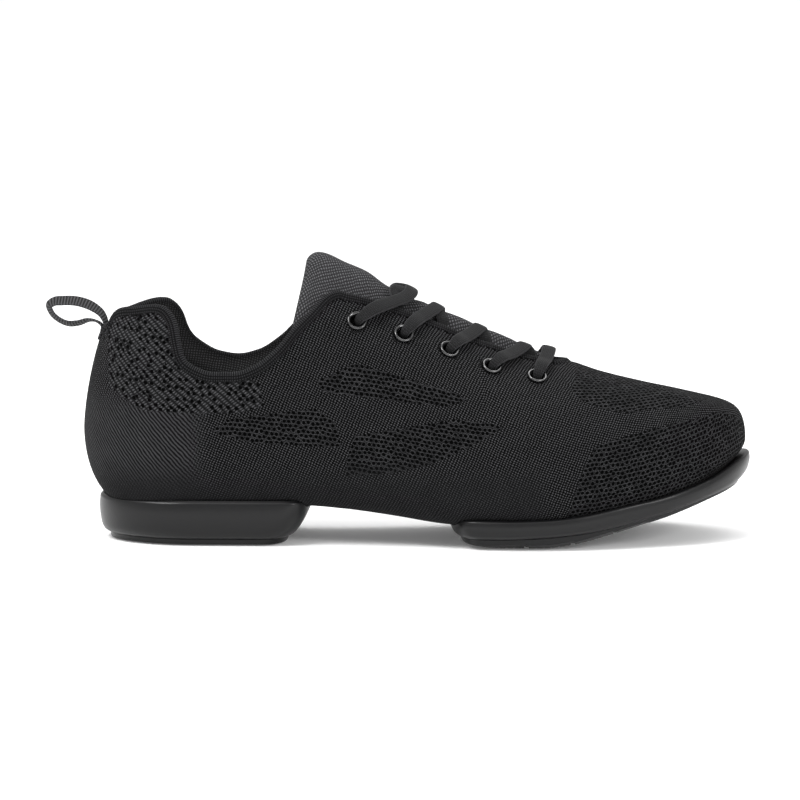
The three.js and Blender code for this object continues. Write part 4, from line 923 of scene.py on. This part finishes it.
# %% Rings of a sole
SOLE_ROUNDING, TREAD_INSET, TREAD_FLAT, TREAD_DRAFT, TREAD_STEP = 3.6, 4.6, 13, 0.4, 0.15
TOE_OVERHANG, FOREFOOT_SOLE_START, CORNER_POWER = 1.9, 142.4, 3.2
HEEL_REAR_ROUND, HEEL_FRONT_ROUND, BALL_REAR_ROUND = 0.136, 0.05, 0.04
SPOT_PLACE, SPOT_RADIUS, LUG_RUN, LUG_RISE = 0.697, 16.0, 16, 0.7
SIDE_STEPS, SIDE_RINGS, TREAD_RINGS = 50, 28, 9
GROOVES = [0.208, 0.664, 0.733, 0.796, 0.846]
SOLE_SIDE = through([0, 0.06, 0.25, 0.65, 0.92, 1.0], [1.0, 0.556, 0.194, 0.0, 0.083, 0.36])
HEEL_SOLE = table("at margin lip under edge floor", [(0.0, -0.024, 1.0, 0.15, 0.03, 0.0),
                                                     (0.36, -0.024, 1.0, 0.15, 0.03, 0.0)])
FOREFOOT_SOLE = table("at margin lip under edge floor", [
    (0.556, -0.02, 0.354, 0.125, 0.045, 0.0), (0.634, -0.009, 0.354, 0.13, 0.055, 0.0),
    (0.69, -0.003, 0.365, 0.15, 0.058, 0.0), (0.715, 0.0, 0.38, 0.165, 0.058, 0.015),
    (0.76, 0.001, 0.43, 0.205, 0.055, 0.08), (0.809, 0.003, 0.507, 0.275, 0.045, 0.18),
    (0.872, 0.005, 0.602, 0.39, 0.02, 0.32), (0.935, 0.007, 0.749, 0.535, 0.01, 0.485),
    (0.982, 0.008, 0.925, 0.655, 0.01, 0.605), (1.003, 0.008, 1.0, 0.75, 0.01, 0.69)])


def sole_sizes(rows, height, **sizes):
    curves = {name: track(rows, name, BALL_WIDTH if name == "margin" else height)
              for name in ("margin", "lip", "under", "edge", "floor")}
    return {**curves, **sizes}


heel = sole_sizes(
    HEEL_SOLE, HEEL_SOLE_HEIGHT, rear=SOLE_SETBACK, rear_round=HEEL_REAR_ROUND * UPPER_LENGTH, rear_power=2,
    front=lambda share: SOLE_SETBACK + HEEL_SOLE_LENGTH - HEEL_FRONT_SLANT * (1 - share),
    front_round=HEEL_FRONT_ROUND * UPPER_LENGTH, front_power=CORNER_POWER, spot=None)
forefoot = sole_sizes(
    FOREFOOT_SOLE, TOE_LIP_HEIGHT, rear=SOLE_SETBACK + FOREFOOT_SOLE_START,
    rear_round=BALL_REAR_ROUND * UPPER_LENGTH, rear_power=CORNER_POWER,
    front=lambda share: UPPER_LENGTH + TOE_OVERHANG, front_round=TOE_CURVE * UPPER_LENGTH,
    front_power=2, spot=(SPOT_PLACE * UPPER_LENGTH, SPOT_RADIUS))


def outline(sole, share, inset, height):
    """One ring of a sole: lateral side from rear to front, then the medial side back."""
    rear, front = sole["rear"] + inset, sole["front"](share) - inset
    turn = np.linspace(0, np.pi / 2, 25)

    def bend(length, power):
        return length * (1 - np.cos(turn).clip(0) ** (2 / power)), np.sin(turn) ** (2 / power)

    (start, start_keep), (end, end_keep) = (
        bend(sole[which + "_round"], sole[which + "_power"]) for which in ("rear", "front"))
    even = np.arange(1, SIDE_STEPS) / SIDE_STEPS
    middle = mix(rear + sole["rear_round"], front - sole["front_round"], even)
    x = np.concatenate([rear + start, middle, (front - end)[::-1]])
    keep = np.concatenate([start_keep, np.ones(len(even)), end_keep[::-1]])
    wide = (half(x) + sole["margin"](x) - inset) * keep
    lateral, medial = (np.column_stack([x, centre(x) + side * wide, height(x)]) for side in (LATERAL, MEDIAL))
    return np.vstack([lateral, medial[-2:0:-1]])


def lug_step(x):
    """The tread's edge steps up a little behind each groove and runs out again towards the heel."""
    edges = [groove * UPPER_LENGTH for groove in GROOVES]
    return LUG_RISE * np.max([clamp(1 - (edge - x) / LUG_RUN) * (x < edge) for edge in edges], axis=0)


def sole_block(sole):
    edge = lambda x: sole["floor"](x) + sole["edge"](x) + lug_step(x) * (sole is forefoot)
    rings = [outline(sole, s, float(SOLE_SIDE(s)) * SOLE_ROUNDING,
                     lambda x, s=s: mix(sole["under"](x), sole["lip"](x), s))
             for s in 1 - smooth(np.linspace(0, 1, SIDE_RINGS))]
    rings.append(outline(sole, 0, TREAD_INSET - TREAD_DRAFT,
                         lambda x: mix(sole["under"](x), edge(x), TREAD_STEP)))
    for s in np.linspace(0, 1, TREAD_RINGS):
        rings.append(outline(sole, 0, mix(TREAD_INSET, TREAD_FLAT, s),
                             lambda x, s=s: mix(edge(x), sole["floor"](x), 1 - (1 - s) ** 2)))
    columns = np.array(rings).transpose(1, 0, 2)
    count, rows = columns.shape[:2]
    k = np.arange(count // 2)
    lid = np.stack([k, k + 1, (count - k - 1) % count, (count - k) % count], -1) * rows
    return columns.reshape(-1, 3), np.concatenate([wrap_quads(count, rows), lid, lid[:, ::-1] + rows - 1])


# %% [markdown]
# ### Tread
# Fine ribs run across both treads, a wider groove crosses where the sole flexes, and under the ball
# of the foot a smooth round spot lets the dancer turn. They are milled from the underside by one
# cutter of many bars, which stop short of the edge.

# %% Bars across a tread
GROOVE_WIDTH, GROOVE_DEPTH, GROOVE_CLEAR = 2.0, 1.8, 2.2
BAR_WIDTH, BAR_DEPTH, BAR_PITCH, BAR_START, BAR_STOP = 1.0, 0.5, 3.0, 7.5, 7
MILL_INSET, MILL_BELOW, SPOT_CLEAR, SPOT_GROOVE = 6.5, 1.5, 1.6, 0.9
BOX = np.array([(0, 2, 3, 1), (4, 5, 7, 6), (0, 1, 5, 4), (2, 6, 7, 3), (0, 4, 6, 2), (1, 3, 7, 5)])


def bars(sole, places, wide, deep, inset):
    reach = outline(sole, 0, inset, sole["floor"])
    line = reach[:len(reach) // 2 + 1]
    made = []
    for x in places:
        outer = float(np.interp(x, line[:, 0], np.abs(line[:, 1] - centre(line[:, 0]))))
        inner = 0.0
        if sole["spot"] and abs(x - sole["spot"][0]) < sole["spot"][1] + SPOT_CLEAR:
            inner = math.sqrt((sole["spot"][1] + SPOT_CLEAR) ** 2 - (x - sole["spot"][0]) ** 2)
        runs = [(-outer, -inner), (inner, outer)] if inner else [(-outer, outer)]
        low, high = (float(sole["floor"](x + s * wide / 2)) for s in (-1, 1))
        for start, end in runs:
            if end - start < 2:
                continue
            corners = [(x + s * wide / 2, float(centre(x)) + y, base + z) for y in (start, end)
                       for s, base in ((-1, low), (1, high)) for z in (-MILL_BELOW, deep)]
            made.append((np.array(corners), BOX))
    return made


# %% Both soles
solid = last_grid(2, 0.0)
pressed = (solid["points"] + solid["out"] * GAP).reshape(-1, 3)
pressed_faces = wrap_quads(*solid["points"].shape[:2])
for sole, name, node in ((heel, "heel_unit", "heel_sole"), (forefoot, "forefoot_unit", "forefoot_sole")):
    made = piece(name, *sole_block(sole), RUBBER)
    cut(made, piece("last", pressed, pressed_faces, RUBBER))
    rear, front = sole["rear"], sole["front"](0)
    flexes = [g * UPPER_LENGTH for g in GROOVES if rear < g * UPPER_LENGTH < front]
    ribs_at = [x for x in np.arange(rear + BAR_START, front - BAR_STOP, BAR_PITCH)
               if min(abs(x - flex) for flex in flexes) > GROOVE_CLEAR]
    mill = (bars(sole, flexes, GROOVE_WIDTH, GROOVE_DEPTH, MILL_INSET)
            + bars(sole, ribs_at, BAR_WIDTH, BAR_DEPTH, MILL_INSET))
    if sole["spot"]:
        x, radius = sole["spot"]
        ring = np.array([(radius, -MILL_BELOW), (radius + SPOT_GROOVE, -MILL_BELOW),
                         (radius + SPOT_GROOVE, BAR_DEPTH), (radius, BAR_DEPTH)])
        mill.append(turned(np.array([x, float(centre(x)), 0.0]), np.array([0.0, 0, 1]), ring, 64))
    cut(made, piece("mill", *joined(mill), RUBBER), sharp=32)
    dress(made, "sole_rubber", node)

# %% [markdown]
# ## Sock liner
# The insole is a thin foam sheet under a knitted cover. It lies on the inner face of the sole and
# turns up a little where it meets the wall, and it is a shade thicker in the middle than at its edge.

# %% Sock liner
INSOLE_THICKNESS, INSOLE_EASE, INSOLE_EDGE = 4, 0.9, 0.47
first_row = WIDEST + int(INSOLE_EDGE * BASE_ROWS)
base_share = clamp((np.arange(first_row, LAST_ROW + 1) - WIDEST) / BASE_ROWS)
thick_share = np.interp(base_share, [0.46, 0.49, 0.55, 0.63, 0.79], [0.0, 0.35, 0.75, 0.95, 1.0])
floor_points, floor_out = points[:, first_row:], out[:, first_row:]
drop = WALL + GAP + INSOLE_EASE
below, above = (floor_points - floor_out * (drop + INSOLE_THICKNESS * thick_share * s)[None, :, None]
                for s in (0, 1))
liner = np.concatenate([above[:, ::-1], below[:, 1:]], axis=1)
liner_place = flat_place(liner[..., 0], liner[..., 1])
sock_liner = piece("sock_liner", liner.reshape(-1, 3), wrap_quads(*liner.shape[:2]), LINING,
                   {"knit_place": liner_place.reshape(-1, 3)})
dress(sock_liner, "sock_liner", "insole")

# %% [markdown]
# ## One lace
# The lace is a soft flat braid, 6 mm wide. It comes up out of the top lateral eyelet, crosses to
# the next medial one, dives under the eyestay and comes up through it, and so on to the bar at the
# toe and back up the other side. At each eyelet it narrows and thickens as it is squeezed. Its path
# is laid out by key points over the foot, and its width direction is carried through every turn.

# %% Path of the lace
LACE_WIDTH, LACE_THICKNESS, LACE_REACH, LACE_FLOAT, LACE_DIVE = 5.8, 1.5, 0.82, 1.2, 0.55
LACE_SETTLE, LACE_HUMP = 0.45, 0.5
# Out of an eyelet: height over its seat, way ahead of it, width and thickness of the lace there
SQUEEZED = [(-4.6, 1.4, 4.4, 2.0), (-1.4, 0.8, 3.6, 2.1), (1.2, 1.4, 3.9, 2.1), (2.5, 3.6, 4.8, 1.9)]
LACES = [(2.0, 0.2), (0.5, 0.03), (0.4, 0.0), (0.5, 0.0), (0.85, 0.05)]
OVER_EYELET = EYELET_SEAT + EYELET_CROWN + 2 * GAP + LACE_THICKNESS / 2
OVER_TONGUE = LACE_FLOAT + LACE_THICKNESS / 2


def unit(v):
    return v / np.linalg.norm(v, axis=-1, keepdims=True)


def strand(k, far, side, shares):
    """Middle line of one strand outside the shoe, from near its eyelet to the far edge of the throat."""
    bow, arch = LACES[k]
    start, end = EYELETS["at"][k] * UPPER_LENGTH, EYELETS["at"][far] * UPPER_LENGTH
    from_middle = EYELETS["across"][k] * BALL_WIDTH
    dive = from_middle if far == k else max(float(throat_half(end)) - LACE_DIVE * LACE_WIDTH, LACE_WIDTH / 2)
    x = mix(start, end, LACE_REACH * shares) + bow * LACE_WIDTH * np.sin(np.pi * shares)
    across = mix(side * from_middle, -side * dive, shares)
    left = np.abs(across / from_middle)
    middle = smooth(1 - left / LACE_HUMP)
    layer = 1.1 * (side == LATERAL) - 0.2
    lift = mix(OVER_EYELET, OVER_TONGUE, smooth((1 - left) / LACE_SETTLE))
    return over_foot(x, across, lift + (layer + arch * LACE_WIDTH) * middle)


keys = []


def key(p, across, wide, thick):
    keys.append((np.asarray(p, float), np.asarray(across, float), wide, thick))


def out_of_eyelet(k, side, toward, sign):
    c, n = eyelet_place(k, side)
    d = unit(toward - c - ((toward - c) @ n) * n)
    w = sign * np.cross(d, n)
    for up, ahead, wide, thick in SQUEEZED:
        key(c + up * n + ahead * d, w, wide, thick)


def over(line, sign):
    for before, p, after in zip(line[:-2], line[1:-1], line[2:]):
        n = crest_normal(p[0], p[1])
        key(p, sign * np.cross(unit(after - before), n), LACE_WIDTH, LACE_THICKNESS + 0.15)


def under_edge(k, far, side, sign):
    """From the last point over the tongue, under the edge of the eyestay to the eyelet."""
    x_eyelet = EYELETS["at"][far] * UPPER_LENGTH
    x_end = mix(EYELETS["at"][k], EYELETS["at"][far], LACE_REACH) * UPPER_LENGTH
    open_half = float(throat_half(x_eyelet))
    out_to = EYELETS["across"][far] * BALL_WIDTH
    line = [over_foot(mix(x_end, x_eyelet, s), -side * across, lift) for s, across, lift in (
        (-0.2, open_half - 5.6, 1.5), (0.2, open_half - 3.3, 0.6), (0.45, open_half - 1.0, -1.7),
        (0.65, open_half + 1.5, -3.3), (0.85, 0.5 * (open_half + out_to), -3.5), (1.0, out_to - 1.5, -4.2))]
    for before, p, after in zip([line[0], *line[:-1]], line, [*line[1:], line[-1]]):
        key(p, sign * np.cross(unit(after - before), crest_normal(p[0], p[1])), 5.4, LACE_THICKNESS)


def half_lace(first_side, sign):
    """Keys from the top eyelet of one side down to the last eyelet, where the bar starts."""
    side = first_side
    for k in range(4):
        outside = strand(k, k + 1, side, np.linspace(0.22, 0.8, 7))
        out_of_eyelet(k, side, outside[1], sign)
        over(outside, sign)
        under_edge(k, k + 1, side, sign)
        side, sign = -side, -sign
    return side, sign


side, sign = half_lace(LATERAL, 1)
bar = strand(4, 4, side, np.linspace(0.16, 0.84, 9))
out_of_eyelet(4, side, bar[1], sign)
over(bar, sign)
first_half = keys
keys = []
side_back, sign_back = half_lace(MEDIAL, 1)
out_of_eyelet(4, side_back, bar[-2], sign_back)
back = [(p, -w, wide, thick) for p, w, wide, thick in keys[::-1]]
flip = np.sign(back[0][1] @ first_half[-1][1])
keys = first_half + [(p, flip * w, wide, thick) for p, w, wide, thick in back]
print("key points of the lace:", len(keys))


# %% [markdown]
# ### Sweeping a ribbon
# The braid is an oval section carried along the path. Between its key points the path is a smooth
# curve, and the width direction is squared up against it at every step.

# %% Ribbon
def smooth_path(stops, step):
    """Points of a rounded curve through stops of any width, a given step apart."""
    stops = np.asarray(stops, float)
    gaps = np.maximum(np.linalg.norm(np.diff(stops[:, :3], axis=0), axis=1), 1e-6)
    at = np.concatenate([[0], np.cumsum(gaps)])
    rises = np.diff(stops, axis=0) / gaps[:, None]
    inner = (rises[:-1] * gaps[1:, None] + rises[1:] * gaps[:-1, None]) / (gaps[:-1] + gaps[1:])[:, None]
    slopes = np.vstack([rises[:1], inner, rises[-1:]])
    goal = np.linspace(0, at[-1], int(at[-1] / step) + 1)
    k = np.clip(np.searchsorted(at, goal, side="right") - 1, 0, len(gaps) - 1)
    span, t = gaps[k, None], ((goal - at[k]) / gaps[k])[:, None]
    return cubic(t, span, stops[k], stops[k + 1], slopes[k], slopes[k + 1])


def ribbon(name, path, across, wide, thick, power, material, sides=20):
    along = unit(np.gradient(path, axis=0))
    across = unit(across - (across * along).sum(1, keepdims=True) * along)
    up = np.cross(across, along)
    angle = 2 * np.pi * np.arange(sides + 1) / sides
    c, s = np.cos(angle), np.sin(angle)
    flat, high = np.sign(c) * np.abs(c) ** (2 / power), np.sign(s) * np.abs(s) ** (2 / power)
    flat[-1], high[-1] = flat[0], high[0]
    rings = (path[:, None] + across[:, None] * (flat * wide[:, None] / 2)[..., None]
             + up[:, None] * (high * thick[:, None] / 2)[..., None])
    run = run_of(path)
    place = flat_place(flat * wide[:, None] / 2, run[:, None])
    count = sides + 1
    faces = wrap_quads(len(path), count, closed=False).tolist()
    for start, flip in ((0, True), ((len(path) - 1) * count, False)):
        half_way = sides // 2
        cap = [[start + k, start + k + 1, start + sides - k - 1, start + sides - k] for k in range(half_way)]
        faces += [quad[::-1] if flip else quad for quad in cap]
    edges = smooth((np.abs(flat) - 0.84) / 0.1) * np.ones((len(path), 1))
    print(name, "is", round(float(run[-1])), "mm long")
    return piece(name, rings.reshape(-1, 3), faces, material,
                 {"knit_place": place.reshape(-1, 3), "selvedge": edges.reshape(-1)})


lace_line = smooth_path([[*p, *w, wide, thick] for p, w, wide, thick in keys], 0.6)
lace = ribbon("lace_braid", lace_line[:, :3], lace_line[:, 3:6], lace_line[:, 6], lace_line[:, 7], 2.6,
              LACE_BRAID)
dress(lace, "lace", *(f"lace_crossing_{k}" for k in (1, 2, 3, 4)), "lace_bar")

# %% [markdown]
# ## Padded tongue
# The tongue is foam between two knitted faces, thick and round at its top and thin towards the toe.
# Its wings run on under the eyestays, and the lace presses soft troughs across it. Its top leans
# back at the sides, so its rows of stitches run in arcs.

# %% Tongue
TONGUE_WIDTH, TONGUE_PAD, TONGUE_THIN, TONGUE_LEAN, TONGUE_ROOM = 66, 5.6, 2.4, 7, 2.2
TONGUE_ROWS, TONGUE_COLUMNS = 121, 81
TOE_END_SHARE, TOP_ROUND, TOE_END_ROUND, UNDER_CORNER = 0.62, 0.035, 0.02, 0.4
DENT_DEPTH, DENT_REACH = 0.7, 3.6
TONGUE = table("at height pad", [
    (0.338, 1.052, 1.0), (0.352, 1.061, 1.0), (0.393, 1.022, 0.9), (0.423, 0.99, 0.75), (0.456, 0.936, 0.4),
    (0.53, 0.855, 0.15), (0.597, 0.784, 0.05), (0.671, 0.705, 0.0), (0.745, 0.62, 0.0)])
tongue_height, tongue_pad = track(TONGUE, "height", INSTEP_HEIGHT), track(TONGUE, "pad")
length = (0.5 - 0.5 * np.cos(np.pi * np.linspace(0, 1, TONGUE_ROWS)))[:, None]
width = np.sin(0.5 * np.pi * np.linspace(-1, 1, TONGUE_COLUMNS))[None]
middle = mix(TONGUE["at"][0], TONGUE["at"][-1], length) * UPPER_LENGTH
reach_out = TONGUE_WIDTH / 2 * mix(1, TOE_END_SHARE, smooth(length * 1.1))
thick = mix(TONGUE_THIN, TONGUE_PAD, tongue_pad(middle))
tip = quarter_round(length / TOP_ROUND) * quarter_round((1 - length) / TOE_END_ROUND)
x = middle - TONGUE_LEAN * width ** 2 * smooth(1 - length * 2.5)
wrap = side_reach(middle, np.sign(width))
across = wrap * np.sin(width * reach_out / wrap)
free = np.where(x < CORNER_END * UPPER_LENGTH, UNDER_CORNER * THROAT_WIDTH, 0.0)
open_half = np.maximum(throat_half(x), free)
bare = np.where(open_half > 0, smooth((open_half + 1 - np.abs(across)) / np.maximum(open_half, 1e-6)), 0.0)
outer = mix(-(WALL + TONGUE_ROOM), tongue_height(middle) - crown(middle), bare)
edge = np.sqrt(1 - np.abs(width) ** 6)
surface = over_foot(x, across, outer)
pressing = np.full(surface.shape[:2], np.inf)
for p in lace_line[::5, :3]:
    pressing = np.minimum(pressing, np.linalg.norm(surface[..., :2] - p[:2], axis=-1))
dent = DENT_DEPTH * np.exp(-(pressing / DENT_REACH) ** 2) * bare
top_face, back_face = (
    over_foot(x, across, outer - thick / 2 - dent * (face > 0) + face * 0.5 * thick * edge * tip)
    for face in (1, -1))
sheet = wrap_quads(TONGUE_ROWS, TONGUE_COLUMNS, closed=False)
tongue_place = flat_place(width * reach_out, -middle).reshape(-1, 3)
tongue = piece("padded_tongue", np.concatenate([top_face.reshape(-1, 3), back_face.reshape(-1, 3)]),
               np.concatenate([sheet, sheet[:, ::-1] + TONGUE_ROWS * TONGUE_COLUMNS]), TONGUE_KNIT,
               {"knit_place": np.concatenate([tongue_place, tongue_place])})
dress(tongue, "padded_knit", "tongue")

# %% [markdown]
# ## Pull loop
# A strip of ribbed webbing is folded into a loop and sewn down the back of the heel. It stands out
# behind the collar and curls down, and rolls a little towards the side as soft webbing does.

# %% Pull loop
LOOP_WIDTH, LOOP_THICKNESS, LOOP_REACH, LOOP_EASE = 9, 1.1, 23.5, -1.7
LOOP_ROOT, LOOP_TAIL, LOOP_DROP, LOOP_ROLL = 0.925, 0.045, 1.5, 16
LOOP_PATH = [(-0.05, 0.05), (0.01, 0.18), (0.17, 0.31), (0.44, 0.405), (0.692, 0.415), (0.836, 0.4),
             (0.922, 0.34), (0.888, 0.218), (0.76, 0.09), (0.585, 0.018), (0.419, 0.03),
             (0.236, 0.081), (0.12, 0.065), (0.02, 0.0)]
_, back_rib, _ = rib(LATERAL, 0.0)


def heel_back(z):
    return float(np.interp(-z, -back_rib[:, 2], back_rib[:, 0]))


root_height, tail = LOOP_ROOT * COLLAR_HEIGHT, LOOP_TAIL * COLLAR_HEIGHT
seam = root_height - LOOP_DROP


def on_heel(z, ply):
    return [heel_back(z) - LOOP_EASE - (ply + 0.5) * LOOP_THICKNESS - ply * 0.1, 0, z]


root = heel_back(root_height)
stops = [on_heel(seam - tail, 0), on_heel(seam, 0),
         *([root + 0.5 - away_by * LOOP_REACH - LOOP_THICKNESS, 0, root_height + up * LOOP_REACH]
           for away_by, up in LOOP_PATH),
         on_heel(seam - tail, 1)]
loop_line = smooth_path(stops, 0.5)
share = np.linspace(0, 1, len(loop_line))
rolled = np.radians(LOOP_ROLL) * smooth(share / 0.3) * smooth((1 - share) / 0.3)
loop_along = unit(np.gradient(loop_line, axis=0))
loop_up = np.cross(np.array([0.0, 1, 0]), loop_along)
loop_across = np.cos(rolled)[:, None] * np.array([0.0, 1, 0]) + np.sin(rolled)[:, None] * loop_up
steady = np.ones(len(loop_line))
loop = ribbon("webbing_loop", loop_line, loop_across, LOOP_WIDTH * steady, LOOP_THICKNESS * steady, 6,
              WEBBING, 28)
dress(loop, "webbing", "pull_loop")

# %% [markdown]
# ## Studio
# The shoe stands on a wide sheet of pale acrylic, which is lit a little from below so that shadows
# stay soft. A wide soft sun and a square softbox shine from the upper left, a fill from the right
# front and a panel from above and behind. The view transform is the plain one, so that the floor
# reads as white and the knit stays black.

# %% Floor, light and camera
bpy.ops.mesh.primitive_plane_add(size=40, location=(0.1, 0, 0))
floor = bpy.context.object
floor.name = "studio_floor"
floor.data.materials.append(FLOOR)

world = bpy.data.worlds.new("Studio")
bpy.context.scene.world = world
world.use_nodes = True
sky = world.node_tree.nodes["Background"]
sky.inputs["Color"].default_value = (1, 1, 1, 1)
sky.inputs["Strength"].default_value = 0.78

ELEVATION, DISTANCE, SENSOR = 6.5, 1.7, 36
SEEN_PIXELS, PIXELS_TO_MM = 800, 2.459
SEEN_WIDTH = SEEN_PIXELS / PIXELS_TO_MM * MM
TARGET = np.array([122.4 - HEEL_MIDDLE, 0, 55.67]) * MM


def lamp(name, kind, place, power, **settings):
    light = bpy.data.lights.new(name, kind)
    light.energy = power
    for key_name, value in settings.items():
        setattr(light, key_name, value)
    made = bpy.data.objects.new(name, light)
    made.location = place
    aim = TARGET - np.array(place)
    tip = math.atan2(math.hypot(aim[0], aim[1]), -aim[2])
    made.rotation_euler = (tip, 0, math.atan2(aim[0], -aim[1]) + math.pi)
    bpy.context.scene.collection.objects.link(made)


lamp("even", "SUN", (-0.7, -0.65, 1.8), 0.8, angle=math.radians(60))
lamp("key", "AREA", (-0.6, -0.55, 1.15), 15, shape="RECTANGLE", size=0.6, size_y=0.6)
lamp("fill", "AREA", (1.0, -1.0, 0.7), 8, shape="RECTANGLE", size=0.4, size_y=0.4)
lamp("overhead", "AREA", (0.25, 0.45, 1.2), 8, shape="RECTANGLE", size=1.2, size_y=0.6)

camera = bpy.data.cameras.new("camera")
camera.sensor_width = SENSOR
camera.lens = SENSOR * DISTANCE / SEEN_WIDTH
view = bpy.data.objects.new("camera", camera)
tilt = math.radians(ELEVATION)
view.location = TARGET + DISTANCE * np.array([0, -math.cos(tilt), math.sin(tilt)])
view.rotation_euler = (math.radians(90) - tilt, 0, 0)
bpy.context.scene.collection.objects.link(view)
bpy.context.scene.camera = view
bpy.context.scene.view_settings.view_transform = "Standard"
